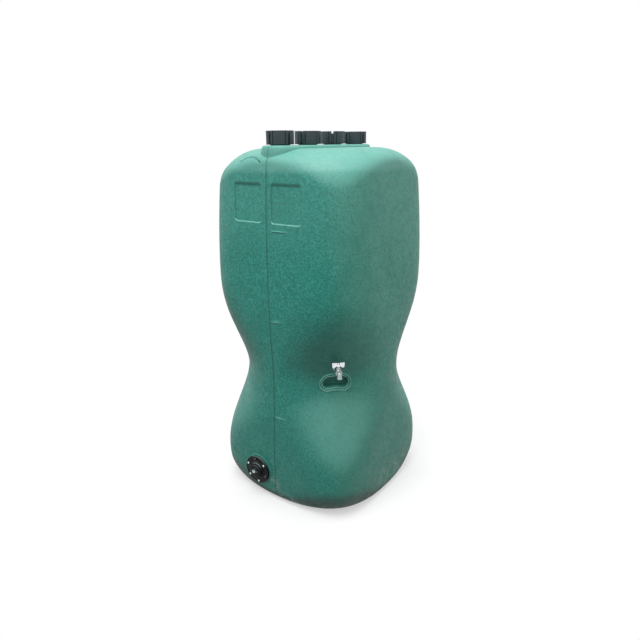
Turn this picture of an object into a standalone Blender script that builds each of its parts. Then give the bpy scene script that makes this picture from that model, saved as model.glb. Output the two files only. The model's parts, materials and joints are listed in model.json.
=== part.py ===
"""Rainwater tank, about 750 litres, moulded in one piece with a pinched waist.

The tank stands on its flat base at Z = 0, with its origin at the middle of that base. Its mould
seam is the plane X = 0. Four screw caps stand in a row along Y on a raised strip. The drain flange
is low on the front (-Y) face. The hand grip and the tap sit in the waist of the corner between the
front (-Y) and right (+X) faces. Metres, +Z up.
"""
import math

import bmesh
import bpy
from mathutils import Matrix, Vector

# Clearances
GAP = 0.0003                    # between two pieces that meet
THREAD_GAP = 0.0004             # at the root of a coarse thread, past the facets of both helices

# Tank wall, outside faces
WALL = 0.005
CROWN_HEIGHT = 1.588
CHEST_HEIGHT = 1.06
WAIST_HEIGHT = 0.60
HIP_HEIGHT = 0.16
CROWN_HALF_WIDTH = 0.362        # where the leaning wall would reach the crown
CHEST_HALF_WIDTH = 0.385
WAIST_HALF_WIDTH = 0.371
HIP_HALF_WIDTH = 0.386
CROWN_CORNER_REACH = 0.068      # how much further each corner stands out than its flat sides
CHEST_CORNER_REACH = 0.083
WAIST_CORNER_REACH = -0.012     # the corners are pinched in here
HIP_CORNER_REACH = 0.090
FOOT_CORNER_REACH = 0.009
FOOT_EDGE_RADIUS = 0.040
FOOT_TAPER_POWER = 2.9          # how late the corner opens from the foot to the hip
HIP_FULLNESS = 1.18             # above 1, a bulge stays full towards the waist
CHEST_FULLNESS = 1.33
CROWN_TAPER_POWER = 1.7

# Domed roof
ROOF_FLAT_RADIUS = 0.22
ROOF_RADIUS = 0.45
ROOF_DROP = 0.12                # fall of the roof from the crown to ROOF_RADIUS
ROOF_POWER = 2.6
SHOULDER_BLEND = 0.03

# Facets. The tank's outside and its hollow share them, so that the wall between stays even
SIDES = 48
FOOT_RINGS = 4
WALL_RINGS = 18
ROOF_RINGS = 5
ROUND_SIDES = 24
TAP_SIDES = 18
LUG_STEPS = 4
DRAIN_SIDES = 36
BOLT_SIDES = 10

# Raised strip and its four necks
STRIP_HEIGHT = 0.012            # above the crown
STRIP_HALF_WIDTH = 0.073
STRIP_DEPTH = 0.06              # how far the strip reaches down into the roof
CAP_SPACING = 0.1826
CAP_FACINGS = (-54.0, -36.0, -9.0, -54.0)   # degrees, where the first lug of each cap looks
NECK_RADIUS = 0.0360
NECK_BORE_RADIUS = 0.0310
NECK_HEIGHT = 0.038
THREAD_PITCH = 0.006
THREAD_DEPTH = 0.0024
THREAD_ROOT_WIDTH = 0.0030
THREAD_CREST_WIDTH = 0.0012
THREAD_TURNS = 1.5
THREAD_RUNOUT = 4               # steps over which the ridge thins to nothing
NECK_THREAD_START = 0.014       # above the strip

# Screw cap
CAP_LIFT = 0.0015               # from the strip to the skirt
CAP_WALL = 0.0032
CAP_COLLAR_HEIGHT = 0.011
CAP_BODY_RADIUS = 0.0475
CAP_TOP_THICKNESS = 0.0045
CAP_THREAD_ROOT_OVERLAP = 0.0010
LUG_COUNT = 4
LUG_RADIUS = 0.0560
LUG_WIDTH = 78.0                # degrees
LUG_THICKNESS = 0.0125
LUG_RISE = 0.0100               # above the cap's disc
LUG_CHAMFER = 0.0020
SEAL_THICKNESS = 0.0030

# Recessed panels on the front face
PANEL_BELOW_CROWN = 0.1339
PANEL_HEIGHT = 0.1524
PANEL_WIDTH = 0.1470
PANEL_FROM_SEAM = 0.0271
PANEL_DEPTH = 0.0025
PANEL_CORNER = 0.012

# Hand grip in the waist corner
GRIP_ABOVE_WAIST = 0.021
GRIP_LENGTH = 0.126
GRIP_WIDTH = 0.060
GRIP_ARCH = 0.006               # rise of the middle over the ends
GRIP_DEPTH = 0.036              # below the narrowest part of the waist
GRIP_RIM = 0.011
GRIP_RIM_PROUD = 0.003          # above the wall around it

# Tap
TAP_ABOVE_GRIP = 0.079
TAP_BOSS_PROUD = 0.003          # past the wall at the tap's height
TAP_BOSS_RADIUS = 0.0215
TAP_BOSS_THICKNESS = 0.014
TAP_TAIL_RADIUS = 0.0105
TAP_BORE_RADIUS = 0.0055
TAP_GASKET_THICKNESS = 0.0020
TAP_GASKET_RADIUS = 0.0160
TAP_HEX_RADIUS = 0.0165
TAP_HEX_THICKNESS = 0.0060
TAP_BARREL_RADIUS = 0.0135
TAP_CAVITY_RADIUS = 0.0102
TAP_BALL_RADIUS = 0.0085
TAP_SEAT_THICKNESS = 0.0024
TAP_NECK_LENGTH = 0.0245        # solid metal behind the ball's cavity, so the handle clears the wall
TAP_NOSE_LENGTH = 0.0050
TAP_SPOUT_LENGTH = 0.0235
TAP_SPOUT_RADIUS = 0.0098
TAP_SPOUT_DROP = 0.0215
TAP_SPOUT_CORNER = 0.0035
TAP_COLLAR_LENGTH = 0.0030
TAP_BONNET_RADIUS = 0.0080
TAP_BONNET_HEIGHT = 0.0200      # above the tap's axis
TAP_STEM_RADIUS = 0.0034
TAP_SPIGOT_RADIUS = 0.0024      # the stem's threaded top
TAP_TANG_WIDTH = 0.0056
TAP_TANG_THICKNESS = 0.0026
TAP_TANG_DEPTH = 0.0022
TAP_PACKING_WALL = 0.0024
TAP_PACKING_THICKNESS = 0.0032
TAP_GLAND_HEAD = 0.0028
TAP_GLAND_NOSE = 0.0016
TAP_HUB_RADIUS = 0.0080
TAP_HUB_HEIGHT = 0.0075
TAP_WING_REACH = 0.0270
TAP_WING_THICKNESS = 0.0060
TAP_WING_HEIGHT = 0.0140
TAP_WING_DIP = 0.0030           # rise of the wing's lower edge from the hub to the tip
TAP_WING_LOW_CORNER = 0.0050
TAP_WING_TOP_CORNER = 0.0020
TAP_HANDLE_NUT_RADIUS = 0.0044
TAP_HANDLE_NUT_HEIGHT = 0.0030
TAP_WASHER_THICKNESS = 0.0020
TAP_BACKNUT_RADIUS = 0.0170
TAP_BACKNUT_THICKNESS = 0.0065
TAP_TAIL_SPARE = 0.003          # tail past the backnut

# Flat seats cut in the wall for the tap and the drain
SPOT_FACE_REACH = 0.060         # clears the overhanging wall above the tap
SPOT_FACE_MARGIN = 0.0015

# Drain flange
DRAIN_X = -0.0996
DRAIN_HEIGHT = 0.1307
DRAIN_PAD_PROUD = 0.0020
DRAIN_PAD_RADIUS = 0.0740
DRAIN_PAD_THICKNESS = 0.0080
DRAIN_BORE_RADIUS = 0.0300
DRAIN_FLANGE_RADIUS = 0.0685
DRAIN_FLANGE_THICKNESS = 0.0085
DRAIN_FLANGE_CHAMFER = 0.0020
DRAIN_BOSS_RADIUS = 0.0360
DRAIN_BOSS_HEIGHT = 0.0080      # above the flange's face
DRAIN_GASKET_RADIUS = 0.0670
DRAIN_GASKET_THICKNESS = 0.0030
DRAIN_RING_RADIUS = 0.0670
DRAIN_RING_THICKNESS = 0.0040
DRAIN_BOLT_COUNT = 6
DRAIN_BOLT_CIRCLE = 0.0560
DRAIN_BOLT_FACING = 40.0        # degrees from +X towards +Z
DRAIN_BOLT_RADIUS = 0.0030
DRAIN_BOLT_HEAD_RADIUS = 0.0058
DRAIN_BOLT_HEAD_HEIGHT = 0.0042
DRAIN_BOLT_HEAD_CHAMFER = 0.0011
DRAIN_NUT_RADIUS = 0.0058
DRAIN_NUT_HEIGHT = 0.0050
DRAIN_BOLT_SPARE = 0.0020
DRAIN_HOLE_CLEARANCE = 0.0006
PLUG_BODY_RADIUS = 0.0240
PLUG_BODY_LENGTH = 0.0120
PLUG_HEAD_RADIUS = 0.0300
PLUG_HEAD_THICKNESS = 0.0050
PLUG_GRIP_LENGTH = 0.0400
PLUG_GRIP_WIDTH = 0.0080
PLUG_GRIP_HEIGHT = 0.0090
PLUG_SEAL_THICKNESS = 0.0020

# Places worked out from the sizes above
CROWN_HALF_DIAGONAL = CROWN_HALF_WIDTH + CROWN_CORNER_REACH
CHEST_HALF_DIAGONAL = CHEST_HALF_WIDTH + CHEST_CORNER_REACH
WAIST_HALF_DIAGONAL = WAIST_HALF_WIDTH + WAIST_CORNER_REACH
HIP_HALF_DIAGONAL = HIP_HALF_WIDTH + HIP_CORNER_REACH
FOOT_HALF_DIAGONAL = HIP_HALF_WIDTH + FOOT_CORNER_REACH
STRIP_TOP = CROWN_HEIGHT + STRIP_HEIGHT
CAP_COUNT = len(CAP_FACINGS)
CAP_PLACES = tuple((i - (CAP_COUNT - 1) / 2) * CAP_SPACING for i in range(CAP_COUNT))
STRIP_HALF_LENGTH = CAP_PLACES[-1] + STRIP_HALF_WIDTH
CAP_BORE_RADIUS = NECK_RADIUS + THREAD_DEPTH + THREAD_GAP
CAP_COLLAR_RADIUS = CAP_BORE_RADIUS + CAP_WALL
CAP_CEILING = NECK_HEIGHT + SEAL_THICKNESS + 2 * GAP
CAP_DISC = CAP_CEILING + CAP_TOP_THICKNESS
CORNER = Vector((math.sqrt(0.5), -math.sqrt(0.5), 0.0))
CORNER_TURN = math.radians(45.0)
PANEL_TOP = CROWN_HEIGHT - PANEL_BELOW_CROWN
GRIP_HEIGHT = WAIST_HEIGHT + GRIP_ABOVE_WAIST
GRIP_BACK = WAIST_HALF_DIAGONAL - GRIP_DEPTH
TAP_HEIGHT = GRIP_HEIGHT + TAP_ABOVE_GRIP
TAP_BODY_START = TAP_GASKET_THICKNESS + 2 * GAP
TAP_HEX_END = TAP_BODY_START + TAP_HEX_THICKNESS
TAP_CAVITY_START = TAP_HEX_END + TAP_NECK_LENGTH
TAP_SEAT_RADIUS = TAP_CAVITY_RADIUS - GAP
TAP_SEAT_HOLE = TAP_BORE_RADIUS
TAP_BALL_AHEAD = math.sqrt(TAP_BALL_RADIUS ** 2 - TAP_SEAT_HOLE ** 2)
TAP_BALL_PLACE = TAP_CAVITY_START + TAP_SEAT_THICKNESS + 2 * GAP + TAP_BALL_AHEAD
TAP_NOSE_START = TAP_BALL_PLACE + TAP_BALL_AHEAD + TAP_SEAT_THICKNESS + 2 * GAP
TAP_BARREL_END = TAP_NOSE_START + TAP_NOSE_LENGTH
TAP_SPOUT_START = TAP_BARREL_END + GAP
TAP_SPOUT_AXIS = TAP_SPOUT_START + TAP_SPOUT_LENGTH - TAP_SPOUT_RADIUS
TAP_STEM_HOLE = TAP_STEM_RADIUS + GAP
TAP_PACKING_RADIUS = TAP_STEM_HOLE + TAP_PACKING_WALL
TAP_PACKING_HOLE = TAP_PACKING_RADIUS + GAP
TAP_PACKING_START = TAP_BONNET_HEIGHT - TAP_GLAND_NOSE - TAP_PACKING_THICKNESS - GAP
TAP_GLAND_START = TAP_PACKING_START + TAP_PACKING_THICKNESS + GAP
TAP_GLAND_TOP = TAP_BONNET_HEIGHT + GAP + TAP_GLAND_HEAD
TAP_HUB_START = TAP_GLAND_TOP + GAP
TAP_HUB_TOP = TAP_HUB_START + TAP_HUB_HEIGHT
TAP_NUT_START = TAP_HUB_TOP + GAP
TAP_STEM_TOP = TAP_NUT_START + TAP_HANDLE_NUT_HEIGHT
TAP_WASHER_START = TAP_BOSS_THICKNESS + GAP
TAP_BACKNUT_START = TAP_WASHER_START + TAP_WASHER_THICKNESS + GAP
TAP_TAIL_END = TAP_BACKNUT_START + TAP_BACKNUT_THICKNESS + TAP_TAIL_SPARE

DRAIN_PLACE = Vector((DRAIN_X, -HIP_HALF_WIDTH - DRAIN_PAD_PROUD, DRAIN_HEIGHT))
DRAIN_FLANGE_START = DRAIN_GASKET_THICKNESS + 2 * GAP
DRAIN_FLANGE_END = DRAIN_FLANGE_START + DRAIN_FLANGE_THICKNESS
DRAIN_BOSS_END = DRAIN_FLANGE_END + DRAIN_BOSS_HEIGHT
DRAIN_HOLE_RADIUS = DRAIN_BOLT_RADIUS + DRAIN_HOLE_CLEARANCE
DRAIN_RING_START = DRAIN_PAD_THICKNESS + GAP
DRAIN_NUT_START = DRAIN_RING_START + DRAIN_RING_THICKNESS + GAP
DRAIN_BOLT_END = DRAIN_NUT_START + DRAIN_NUT_HEIGHT + DRAIN_BOLT_SPARE
PLUG_BORE_RADIUS = PLUG_BODY_RADIUS + GAP
PLUG_HEAD_START = DRAIN_BOSS_END + PLUG_SEAL_THICKNESS + 2 * GAP


def clear_scene():
    """Remove whatever the open file holds."""
    for thing in list(bpy.data.objects):
        bpy.data.objects.remove(thing, do_unlink=True)


def make_material(name, colour, roughness, metallic=0.0):
    """Return a Principled material of one plain colour."""
    material = bpy.data.materials.new(name)
    material.use_nodes = True
    shader = material.node_tree.nodes["Principled BSDF"]
    shader.inputs["Base Color"].default_value = (*colour, 1.0)
    shader.inputs["Roughness"].default_value = roughness
    shader.inputs["Metallic"].default_value = metallic
    return material


def link_object(name, mesh, material=None, crease=35.0):
    """Wrap a bmesh in a linked object, shaded smooth but for its sharp edges."""
    bmesh.ops.recalc_face_normals(mesh, faces=mesh.faces)
    data = bpy.data.meshes.new(name)
    mesh.to_mesh(data)
    mesh.free()
    data.shade_smooth()
    data.set_sharp_from_angle(angle=math.radians(crease))
    thing = bpy.data.objects.new(name, data)
    bpy.context.scene.collection.objects.link(thing)
    if material:
        data.materials.append(material)
    return thing


def helper(name, mesh):
    """Return a shape that only adds to or cuts another object."""
    thing = link_object(name, mesh)
    thing.hide_render = True
    thing.display_type = "WIRE"
    return thing


def combine(target, operation, tool):
    """Join a helper to the target, or cut it away."""
    step = target.modifiers.new(tool.name, "BOOLEAN")
    step.operation = operation
    step.solver = "EXACT"
    step.object = tool


def smoothstep(share):
    """Ease from 0 to 1 with level ends."""
    share = min(max(share, 0.0), 1.0)
    return share * share * (3.0 - 2.0 * share)


def smooth_min(first, second, blend):
    """Return the lesser of two radii, rounded where they are close."""
    near = max(blend - abs(first - second), 0.0) / blend
    return min(first, second) - near * near * blend / 4.0


def loft(rings, mesh=None):
    """Skin closed rings of equal length, and close both ends."""
    mesh = mesh or bmesh.new()
    loops = [[mesh.verts.new(point) for point in ring] for ring in rings]
    count = len(loops[0])
    for low, high in zip(loops, loops[1:]):
        for i in range(count):
            j = (i + 1) % count
            mesh.faces.new((low[i], low[j], high[j], high[i]))
    mesh.faces.new(loops[0])
    mesh.faces.new(loops[-1])
    return mesh


def circle(radius, height, sides=ROUND_SIDES, first=0.5):
    """Return the points of one level ring, whose first point is a share of a step from +X.

    The default keeps the points off the planes of symmetry, where the tank's own edges run.
    """
    angles = [2.0 * math.pi * (i + first) / sides for i in range(sides)]
    return [Vector((radius * math.cos(a), radius * math.sin(a), height)) for a in angles]


def turned(profile, sides=ROUND_SIDES):
    """Turn a solid from (radius, height) pairs that start and end off the axis."""
    return loft([circle(radius, height, sides) for radius, height in profile])


def turned_ring(profile, sides=ROUND_SIDES):
    """Turn a closed (radius, height) outline that stays off the axis."""
    mesh = bmesh.new()
    loops = [[mesh.verts.new(point) for point in circle(r, h, sides)] for r, h in profile]
    for low, high in zip(loops, loops[1:] + loops[:1]):
        for i in range(sides):
            j = (i + 1) % sides
            mesh.faces.new((low[i], low[j], high[j], high[i]))
    return mesh


def tube(inner, outer, low, high, sides=ROUND_SIDES):
    """Return a plain ring of rectangular section."""
    return turned_ring([(inner, low), (outer, low), (outer, high), (inner, high)], sides)


def rod(radius, low, high, sides=ROUND_SIDES):
    """Return a plain upright cylinder."""
    return turned([(radius, low), (radius, high)], sides)


def prism(outline, low, high):
    """Raise a flat outline of (x, y) points between two heights."""
    return loft([[Vector((x, y, z)) for x, y in outline] for z in (low, high)])


def hexagon(radius, low, high, hole=None):
    """Return a six-sided nut or head, with a round hole where one is given."""
    if hole is None:
        return rod(radius, low, high, 6)
    mesh = bmesh.new()
    steps = TAP_SIDES // 6
    flats = []
    for i in range(TAP_SIDES):
        side, along = divmod(i, steps)
        start, end = (Vector((math.cos(math.radians(60 * s)), math.sin(math.radians(60 * s)), 0))
                      for s in (side, side + 1))
        flats.append(start.lerp(end, along / steps) * radius)
    outlines = []
    for height, shape in ((low, "hole"), (low, "flat"), (high, "flat"), (high, "hole")):
        points = [Vector((p.x, p.y, height)) for p in flats]
        if shape == "hole":
            points = circle(hole, height, TAP_SIDES, first=0.0)
        outlines.append([mesh.verts.new(point) for point in points])
    for first, second in zip(outlines, outlines[1:] + outlines[:1]):
        for i in range(TAP_SIDES):
            j = (i + 1) % TAP_SIDES
            mesh.faces.new((first[i], first[j], second[j], second[i]))
    return mesh


def moved(mesh, matrix):
    """Move every point of a bmesh."""
    bmesh.ops.transform(mesh, matrix=matrix, verts=mesh.verts)
    return mesh


def merged(meshes):
    """Gather separate closed shapes in one bmesh."""
    whole = bmesh.new()
    for mesh in meshes:
        data = bpy.data.meshes.new("scratch")
        mesh.to_mesh(data)
        mesh.free()
        whole.from_mesh(data)
        bpy.data.meshes.remove(data)
    return whole


def outward(place, turn):
    """Return the matrix that lays a shape's +Z along the horizontal outward axis at a place.

    A turn of 0 looks to -Y. The shape's +X stays level and its +Y points up.
    """
    return Matrix.Translation(place) @ Matrix.Rotation(turn, 4, "Z") @ Matrix.Rotation(math.pi / 2, 4, "X")


def wall_station(height):
    """Return the wall's half width and half diagonal at a height."""
    if height < HIP_HEIGHT:
        short = max(1.0 - height / HIP_HEIGHT, 0.0) ** FOOT_TAPER_POWER
        return HIP_HALF_WIDTH, HIP_HALF_DIAGONAL + (FOOT_HALF_DIAGONAL - HIP_HALF_DIAGONAL) * short
    if height < WAIST_HEIGHT:
        share = (height - HIP_HEIGHT) / (WAIST_HEIGHT - HIP_HEIGHT)
        ease = smoothstep(share ** HIP_FULLNESS)
        width, diagonal = HIP_HALF_WIDTH, HIP_HALF_DIAGONAL
    elif height < CHEST_HEIGHT:
        share = (CHEST_HEIGHT - height) / (CHEST_HEIGHT - WAIST_HEIGHT)
        ease = smoothstep(share ** CHEST_FULLNESS)
        width, diagonal = CHEST_HALF_WIDTH, CHEST_HALF_DIAGONAL
    else:
        ease = ((height - CHEST_HEIGHT) / (CROWN_HEIGHT - CHEST_HEIGHT)) ** CROWN_TAPER_POWER
        return (CHEST_HALF_WIDTH + (CROWN_HALF_WIDTH - CHEST_HALF_WIDTH) * ease,
                CHEST_HALF_DIAGONAL + (CROWN_HALF_DIAGONAL - CHEST_HALF_DIAGONAL) * ease)
    return (width + (WAIST_HALF_WIDTH - width) * ease,
            diagonal + (WAIST_HALF_DIAGONAL - diagonal) * ease)


def section_radius(angle, height):
    """Return the distance from the axis to the wall, on a rounded square section.

    The section is a superellipse through the half width and the half diagonal. Where the
    corner is pinched inside the circle, it is a circle with four scooped corners.
    """
    half_width, half_diagonal = wall_station(height)
    ratio = half_diagonal / half_width
    power = 1.0 / (0.5 - math.log2(ratio)) if ratio > 1.0 else 2.0
    scoop = max(1.0 - ratio, 0.0)
    across, along = abs(math.cos(angle)), abs(math.sin(angle))
    radius = half_width / (across ** power + along ** power) ** (1.0 / power)
    return radius * (1.0 - scoop * math.sin(2.0 * angle) ** 2)


TAP_FACE = section_radius(-CORNER_TURN, TAP_HEIGHT) + TAP_BOSS_PROUD
TAP_PLACE = CORNER * TAP_FACE + Vector((0, 0, TAP_HEIGHT))


def roof_height(radius):
    """Return the height of the domed roof at a distance from the axis."""
    out = max(radius - ROOF_FLAT_RADIUS, 0.0) / (ROOF_RADIUS - ROOF_FLAT_RADIUS)
    return CROWN_HEIGHT - ROOF_DROP * out ** ROOF_POWER


def roof_radius(height):
    """Return the distance from the axis at which the roof has a height."""
    fall = max(CROWN_HEIGHT - height, 0.0) / ROOF_DROP
    return ROOF_FLAT_RADIUS + (ROOF_RADIUS - ROOF_FLAT_RADIUS) * fall ** (1.0 / ROOF_POWER)


def tank_ring(height, inset, tuck=0.0):
    """Return one level ring of the tank, set in from the outside face by the inset."""
    ring = []
    for i in range(SIDES):
        angle = 2.0 * math.pi * i / SIDES
        roof = roof_radius(height + inset) + inset
        radius = smooth_min(section_radius(angle, height), roof, SHOULDER_BLEND) - inset - tuck
        ring.append(Vector((radius * math.cos(angle), radius * math.sin(angle), height)))
    return ring


def tank_volume(inset):
    """Return the tank's form as a closed solid, set in all round by the inset."""
    rings = []
    edge = FOOT_EDGE_RADIUS - inset
    for i in range(FOOT_RINGS):
        lean = math.pi / 2 * i / FOOT_RINGS
        rings.append(tank_ring(inset + edge * (1.0 - math.cos(lean)), inset, edge * (1.0 - math.sin(lean))))
    roof_start = roof_height(CHEST_HALF_DIAGONAL) - inset
    for i in range(WALL_RINGS):
        rings.append(tank_ring(FOOT_EDGE_RADIUS + (roof_start - FOOT_EDGE_RADIUS) * i / WALL_RINGS, inset))
    for i in range(ROOF_RINGS + 1):
        radius = CHEST_HALF_DIAGONAL + (ROOF_FLAT_RADIUS - CHEST_HALF_DIAGONAL) * i / ROOF_RINGS
        rings.append(tank_ring(roof_height(radius) - inset, inset))
    mesh = loft(rings)
    twisted = [face for face in mesh.faces if len(face.verts) == 4]
    bmesh.ops.triangulate(mesh, faces=twisted)
    return mesh


def stadium(half_width, half_length):
    """Return a round-ended strip along Y as (x, y) points."""
    straight = half_length - half_width
    points = []
    steps = ROUND_SIDES // 2 - 1
    for end, start in ((straight, 0.0), (-straight, math.pi)):
        for i in range(steps + 1):
            angle = start + math.pi * i / steps
            points.append((half_width * math.cos(angle), end + half_width * math.sin(angle)))
    return points


def helix(root, crest, start, turn):
    """Return a right-handed thread ridge around Z, thinned to nothing at both ends.

    The ridge runs from its root radius to its crest radius. It is inside a bore where the
    crest is the lesser of the two.
    """
    steps = round(THREAD_TURNS * ROUND_SIDES)
    rings = []
    for i in range(steps + 1):
        angle = turn + 2.0 * math.pi * i / ROUND_SIDES
        height = start + THREAD_PITCH * i / ROUND_SIDES
        full = min(1.0, (1 + min(i, steps - i)) / THREAD_RUNOUT)
        tip = root + (crest - root) * full
        half_root, half_crest = THREAD_ROOT_WIDTH / 2 * full, THREAD_CREST_WIDTH / 2 * full
        section = ((root, -half_root), (tip, -half_crest), (tip, half_crest), (root, half_root))
        rings.append([Vector((r * math.cos(angle), r * math.sin(angle), height + z)) for r, z in section])
    return loft(rings)


def grip_outline(margin):
    """Return the hand grip's outline, grown by a margin: a round-ended slot, arched upwards."""
    half_width = GRIP_WIDTH / 2 + margin
    half_length = GRIP_LENGTH / 2
    reach = half_length - GRIP_WIDTH / 2
    points = []
    steps = ROUND_SIDES // 3
    for side in (1, -1):
        for i in range(steps + 1):
            angle = math.pi * (i / steps - 0.5)
            along, across = half_width * math.cos(angle), half_width * math.sin(angle)
            points.append((side * (reach + along), side * across))
        points += [(side * reach / 3, side * half_width), (-side * reach / 3, side * half_width)]
    return [(x, y + GRIP_ARCH * (0.5 - (x / half_length) ** 2)) for x, y in points]


def grip_prism(margin, near, far):
    """Return the grip's outline as a solid between two distances from the tank's axis."""
    place = Vector((0, 0, GRIP_HEIGHT))
    return moved(prism(grip_outline(margin), near, far), outward(place, CORNER_TURN))


def tap_shape(mesh):
    """Lay a shape on the tap's axis, with its +Z pointing out of the boss's face."""
    return moved(mesh, outward(TAP_PLACE, CORNER_TURN))


def drain_shape(mesh):
    """Lay a shape on the drain's axis, with its +Z pointing out of the pad's face."""
    return moved(mesh, outward(DRAIN_PLACE, 0.0))


def bolt_places():
    """Return the (x, y) places of the drain's bolts on its flange."""
    places = []
    for i in range(DRAIN_BOLT_COUNT):
        angle = math.radians(DRAIN_BOLT_FACING + 360.0 * i / DRAIN_BOLT_COUNT)
        places.append((DRAIN_BOLT_CIRCLE * math.cos(angle), DRAIN_BOLT_CIRCLE * math.sin(angle)))
    return places


def at_bolts(make):
    """Return one copy of a shape at each bolt."""
    return merged([moved(make(), Matrix.Translation((x, y, 0.0))) for x, y in bolt_places()])


def at_caps(make):
    """Return one copy of a shape at each neck, made for that neck's number."""
    places = [Matrix.Translation((0.0, place, STRIP_TOP)) for place in CAP_PLACES]
    return merged([moved(make(i), place) for i, place in enumerate(places)])


def panel_outline(side):
    """Return one panel's outline as (x, height) points, with rounded corners."""
    middle = side * (PANEL_FROM_SEAM + PANEL_WIDTH / 2)
    points = []
    for corner, (sx, sy) in enumerate(((1, 1), (-1, 1), (-1, -1), (1, -1))):
        for i in range(4):
            angle = math.pi / 2 * (corner + i / 3)
            points.append((middle + sx * (PANEL_WIDTH / 2 - PANEL_CORNER) + PANEL_CORNER * math.cos(angle),
                           sy * (PANEL_HEIGHT / 2 - PANEL_CORNER) + PANEL_CORNER * math.sin(angle)))
    return points


def build_panel_cutter():
    """Return the shape that sinks both panels evenly into the curved front face."""
    place = Vector((0.0, 0.0, PANEL_TOP - PANEL_HEIGHT / 2))
    blocks = merged([prism(panel_outline(side), ROOF_FLAT_RADIUS, ROOF_RADIUS) for side in (-1, 1)])
    cutter = helper("panels", moved(blocks, outward(place, 0.0)))
    combine(cutter, "DIFFERENCE", helper("panel_floor", tank_volume(PANEL_DEPTH)))
    return cutter


def build_grip_rim():
    """Return the raised rim around the hand grip, which follows the wall."""
    rim = helper("grip_rim", grip_prism(GRIP_RIM, GRIP_BACK, ROOF_RADIUS))
    combine(rim, "INTERSECT", helper("grip_rim_face", tank_volume(-GRIP_RIM_PROUD)))
    return rim


def build_cavity():
    """Return the hollow of the tank, with its thickened bosses left standing."""
    cavity = helper("cavity", tank_volume(WALL))
    strip = prism(stadium(STRIP_HALF_WIDTH - WALL, STRIP_HALF_LENGTH - WALL), CROWN_HEIGHT - STRIP_DEPTH,
                  STRIP_TOP - WALL)
    combine(cavity, "UNION", helper("strip_hollow", strip))
    combine(cavity, "DIFFERENCE", helper("grip_shell", grip_prism(WALL, GRIP_BACK - WALL, ROOF_RADIUS)))
    tap_back = rod(TAP_BOSS_RADIUS, -TAP_BOSS_THICKNESS, SPOT_FACE_REACH)
    combine(cavity, "DIFFERENCE", helper("tap_thickening", tap_shape(tap_back)))
    tap_seat = rod(TAP_BACKNUT_RADIUS + SPOT_FACE_MARGIN, -TAP_TAIL_END - SPOT_FACE_MARGIN,
                   -TAP_BOSS_THICKNESS)
    combine(cavity, "UNION", helper("tap_inner_face", tap_shape(tap_seat)))
    drain_back = rod(DRAIN_PAD_RADIUS, -DRAIN_PAD_THICKNESS, SPOT_FACE_REACH)
    combine(cavity, "DIFFERENCE", helper("drain_thickening", drain_shape(drain_back)))
    drain_seat = rod(DRAIN_RING_RADIUS + SPOT_FACE_MARGIN, -DRAIN_BOLT_END - SPOT_FACE_MARGIN,
                     -DRAIN_PAD_THICKNESS)
    combine(cavity, "UNION", helper("drain_inner_face", drain_shape(drain_seat)))
    return cavity


def build_tank(material):
    """Build the moulded tank with its strip, necks, pads, panels and hand grip."""
    tank = link_object("tank_body", tank_volume(0.0), material)
    strip = prism(stadium(STRIP_HALF_WIDTH, STRIP_HALF_LENGTH), CROWN_HEIGHT - STRIP_DEPTH, STRIP_TOP)
    combine(tank, "UNION", helper("strip", strip))
    necks = at_caps(lambda i: rod(NECK_RADIUS, -WALL / 2, NECK_HEIGHT))
    combine(tank, "UNION", helper("necks", necks))
    root = (NECK_RADIUS + NECK_BORE_RADIUS) / 2
    ridges = at_caps(lambda i: helix(root, NECK_RADIUS + THREAD_DEPTH, NECK_THREAD_START,
                                     math.radians(CAP_FACINGS[i])))
    combine(tank, "UNION", helper("neck_threads", ridges))
    combine(tank, "UNION", build_grip_rim())
    tap_boss = rod(TAP_BOSS_RADIUS, -TAP_BOSS_THICKNESS / 2, 0.0)
    combine(tank, "UNION", helper("tap_boss", tap_shape(tap_boss)))
    drain_pad = rod(DRAIN_PAD_RADIUS, -DRAIN_PAD_THICKNESS / 2, 0.0)
    combine(tank, "UNION", helper("drain_pad", drain_shape(drain_pad)))
    combine(tank, "DIFFERENCE", build_cavity())
    bores = at_caps(lambda i: rod(NECK_BORE_RADIUS, -2 * STRIP_DEPTH, 2 * NECK_HEIGHT))
    combine(tank, "DIFFERENCE", helper("neck_bores", bores))
    combine(tank, "DIFFERENCE", helper("grip_pocket", grip_prism(0.0, GRIP_BACK, ROOF_RADIUS)))
    spot_face = rod(TAP_BOSS_RADIUS + SPOT_FACE_MARGIN, 0.0, SPOT_FACE_REACH)
    combine(tank, "DIFFERENCE", helper("tap_spot_face", tap_shape(spot_face)))
    combine(tank, "DIFFERENCE", build_panel_cutter())
    tap_hole = tap_shape(rod(TAP_TAIL_RADIUS + GAP, -2 * TAP_BOSS_THICKNESS, TAP_BOSS_THICKNESS))
    drain_hole = rod(DRAIN_BORE_RADIUS, -2 * DRAIN_PAD_THICKNESS, DRAIN_PAD_THICKNESS)
    bolt_holes = at_bolts(lambda: rod(DRAIN_HOLE_RADIUS, -2 * DRAIN_PAD_THICKNESS, DRAIN_PAD_THICKNESS,
                                      BOLT_SIDES))
    holes = merged([tap_hole, drain_shape(drain_hole), drain_shape(bolt_holes)])
    combine(tank, "DIFFERENCE", helper("wall_holes", holes))
    return tank


def lug_sector(facing):
    """Return one grip lug of the cap, a block on the cap's rim with a chamfered top."""
    inner = LUG_RADIUS - LUG_THICKNESS
    angles = [math.radians(facing + LUG_WIDTH * (i / LUG_STEPS - 0.5)) for i in range(LUG_STEPS + 1)]
    rings = []
    for height, trim in ((CAP_LIFT + CAP_COLLAR_HEIGHT, 0.0), (CAP_DISC + LUG_RISE - LUG_CHAMFER, 0.0),
                         (CAP_DISC + LUG_RISE, LUG_CHAMFER)):
        outline = [(LUG_RADIUS - trim, a) for a in angles] + [(inner + trim, a) for a in reversed(angles)]
        rings.append([Vector((r * math.cos(a), r * math.sin(a), height)) for r, a in outline])
    return loft(rings)


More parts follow.
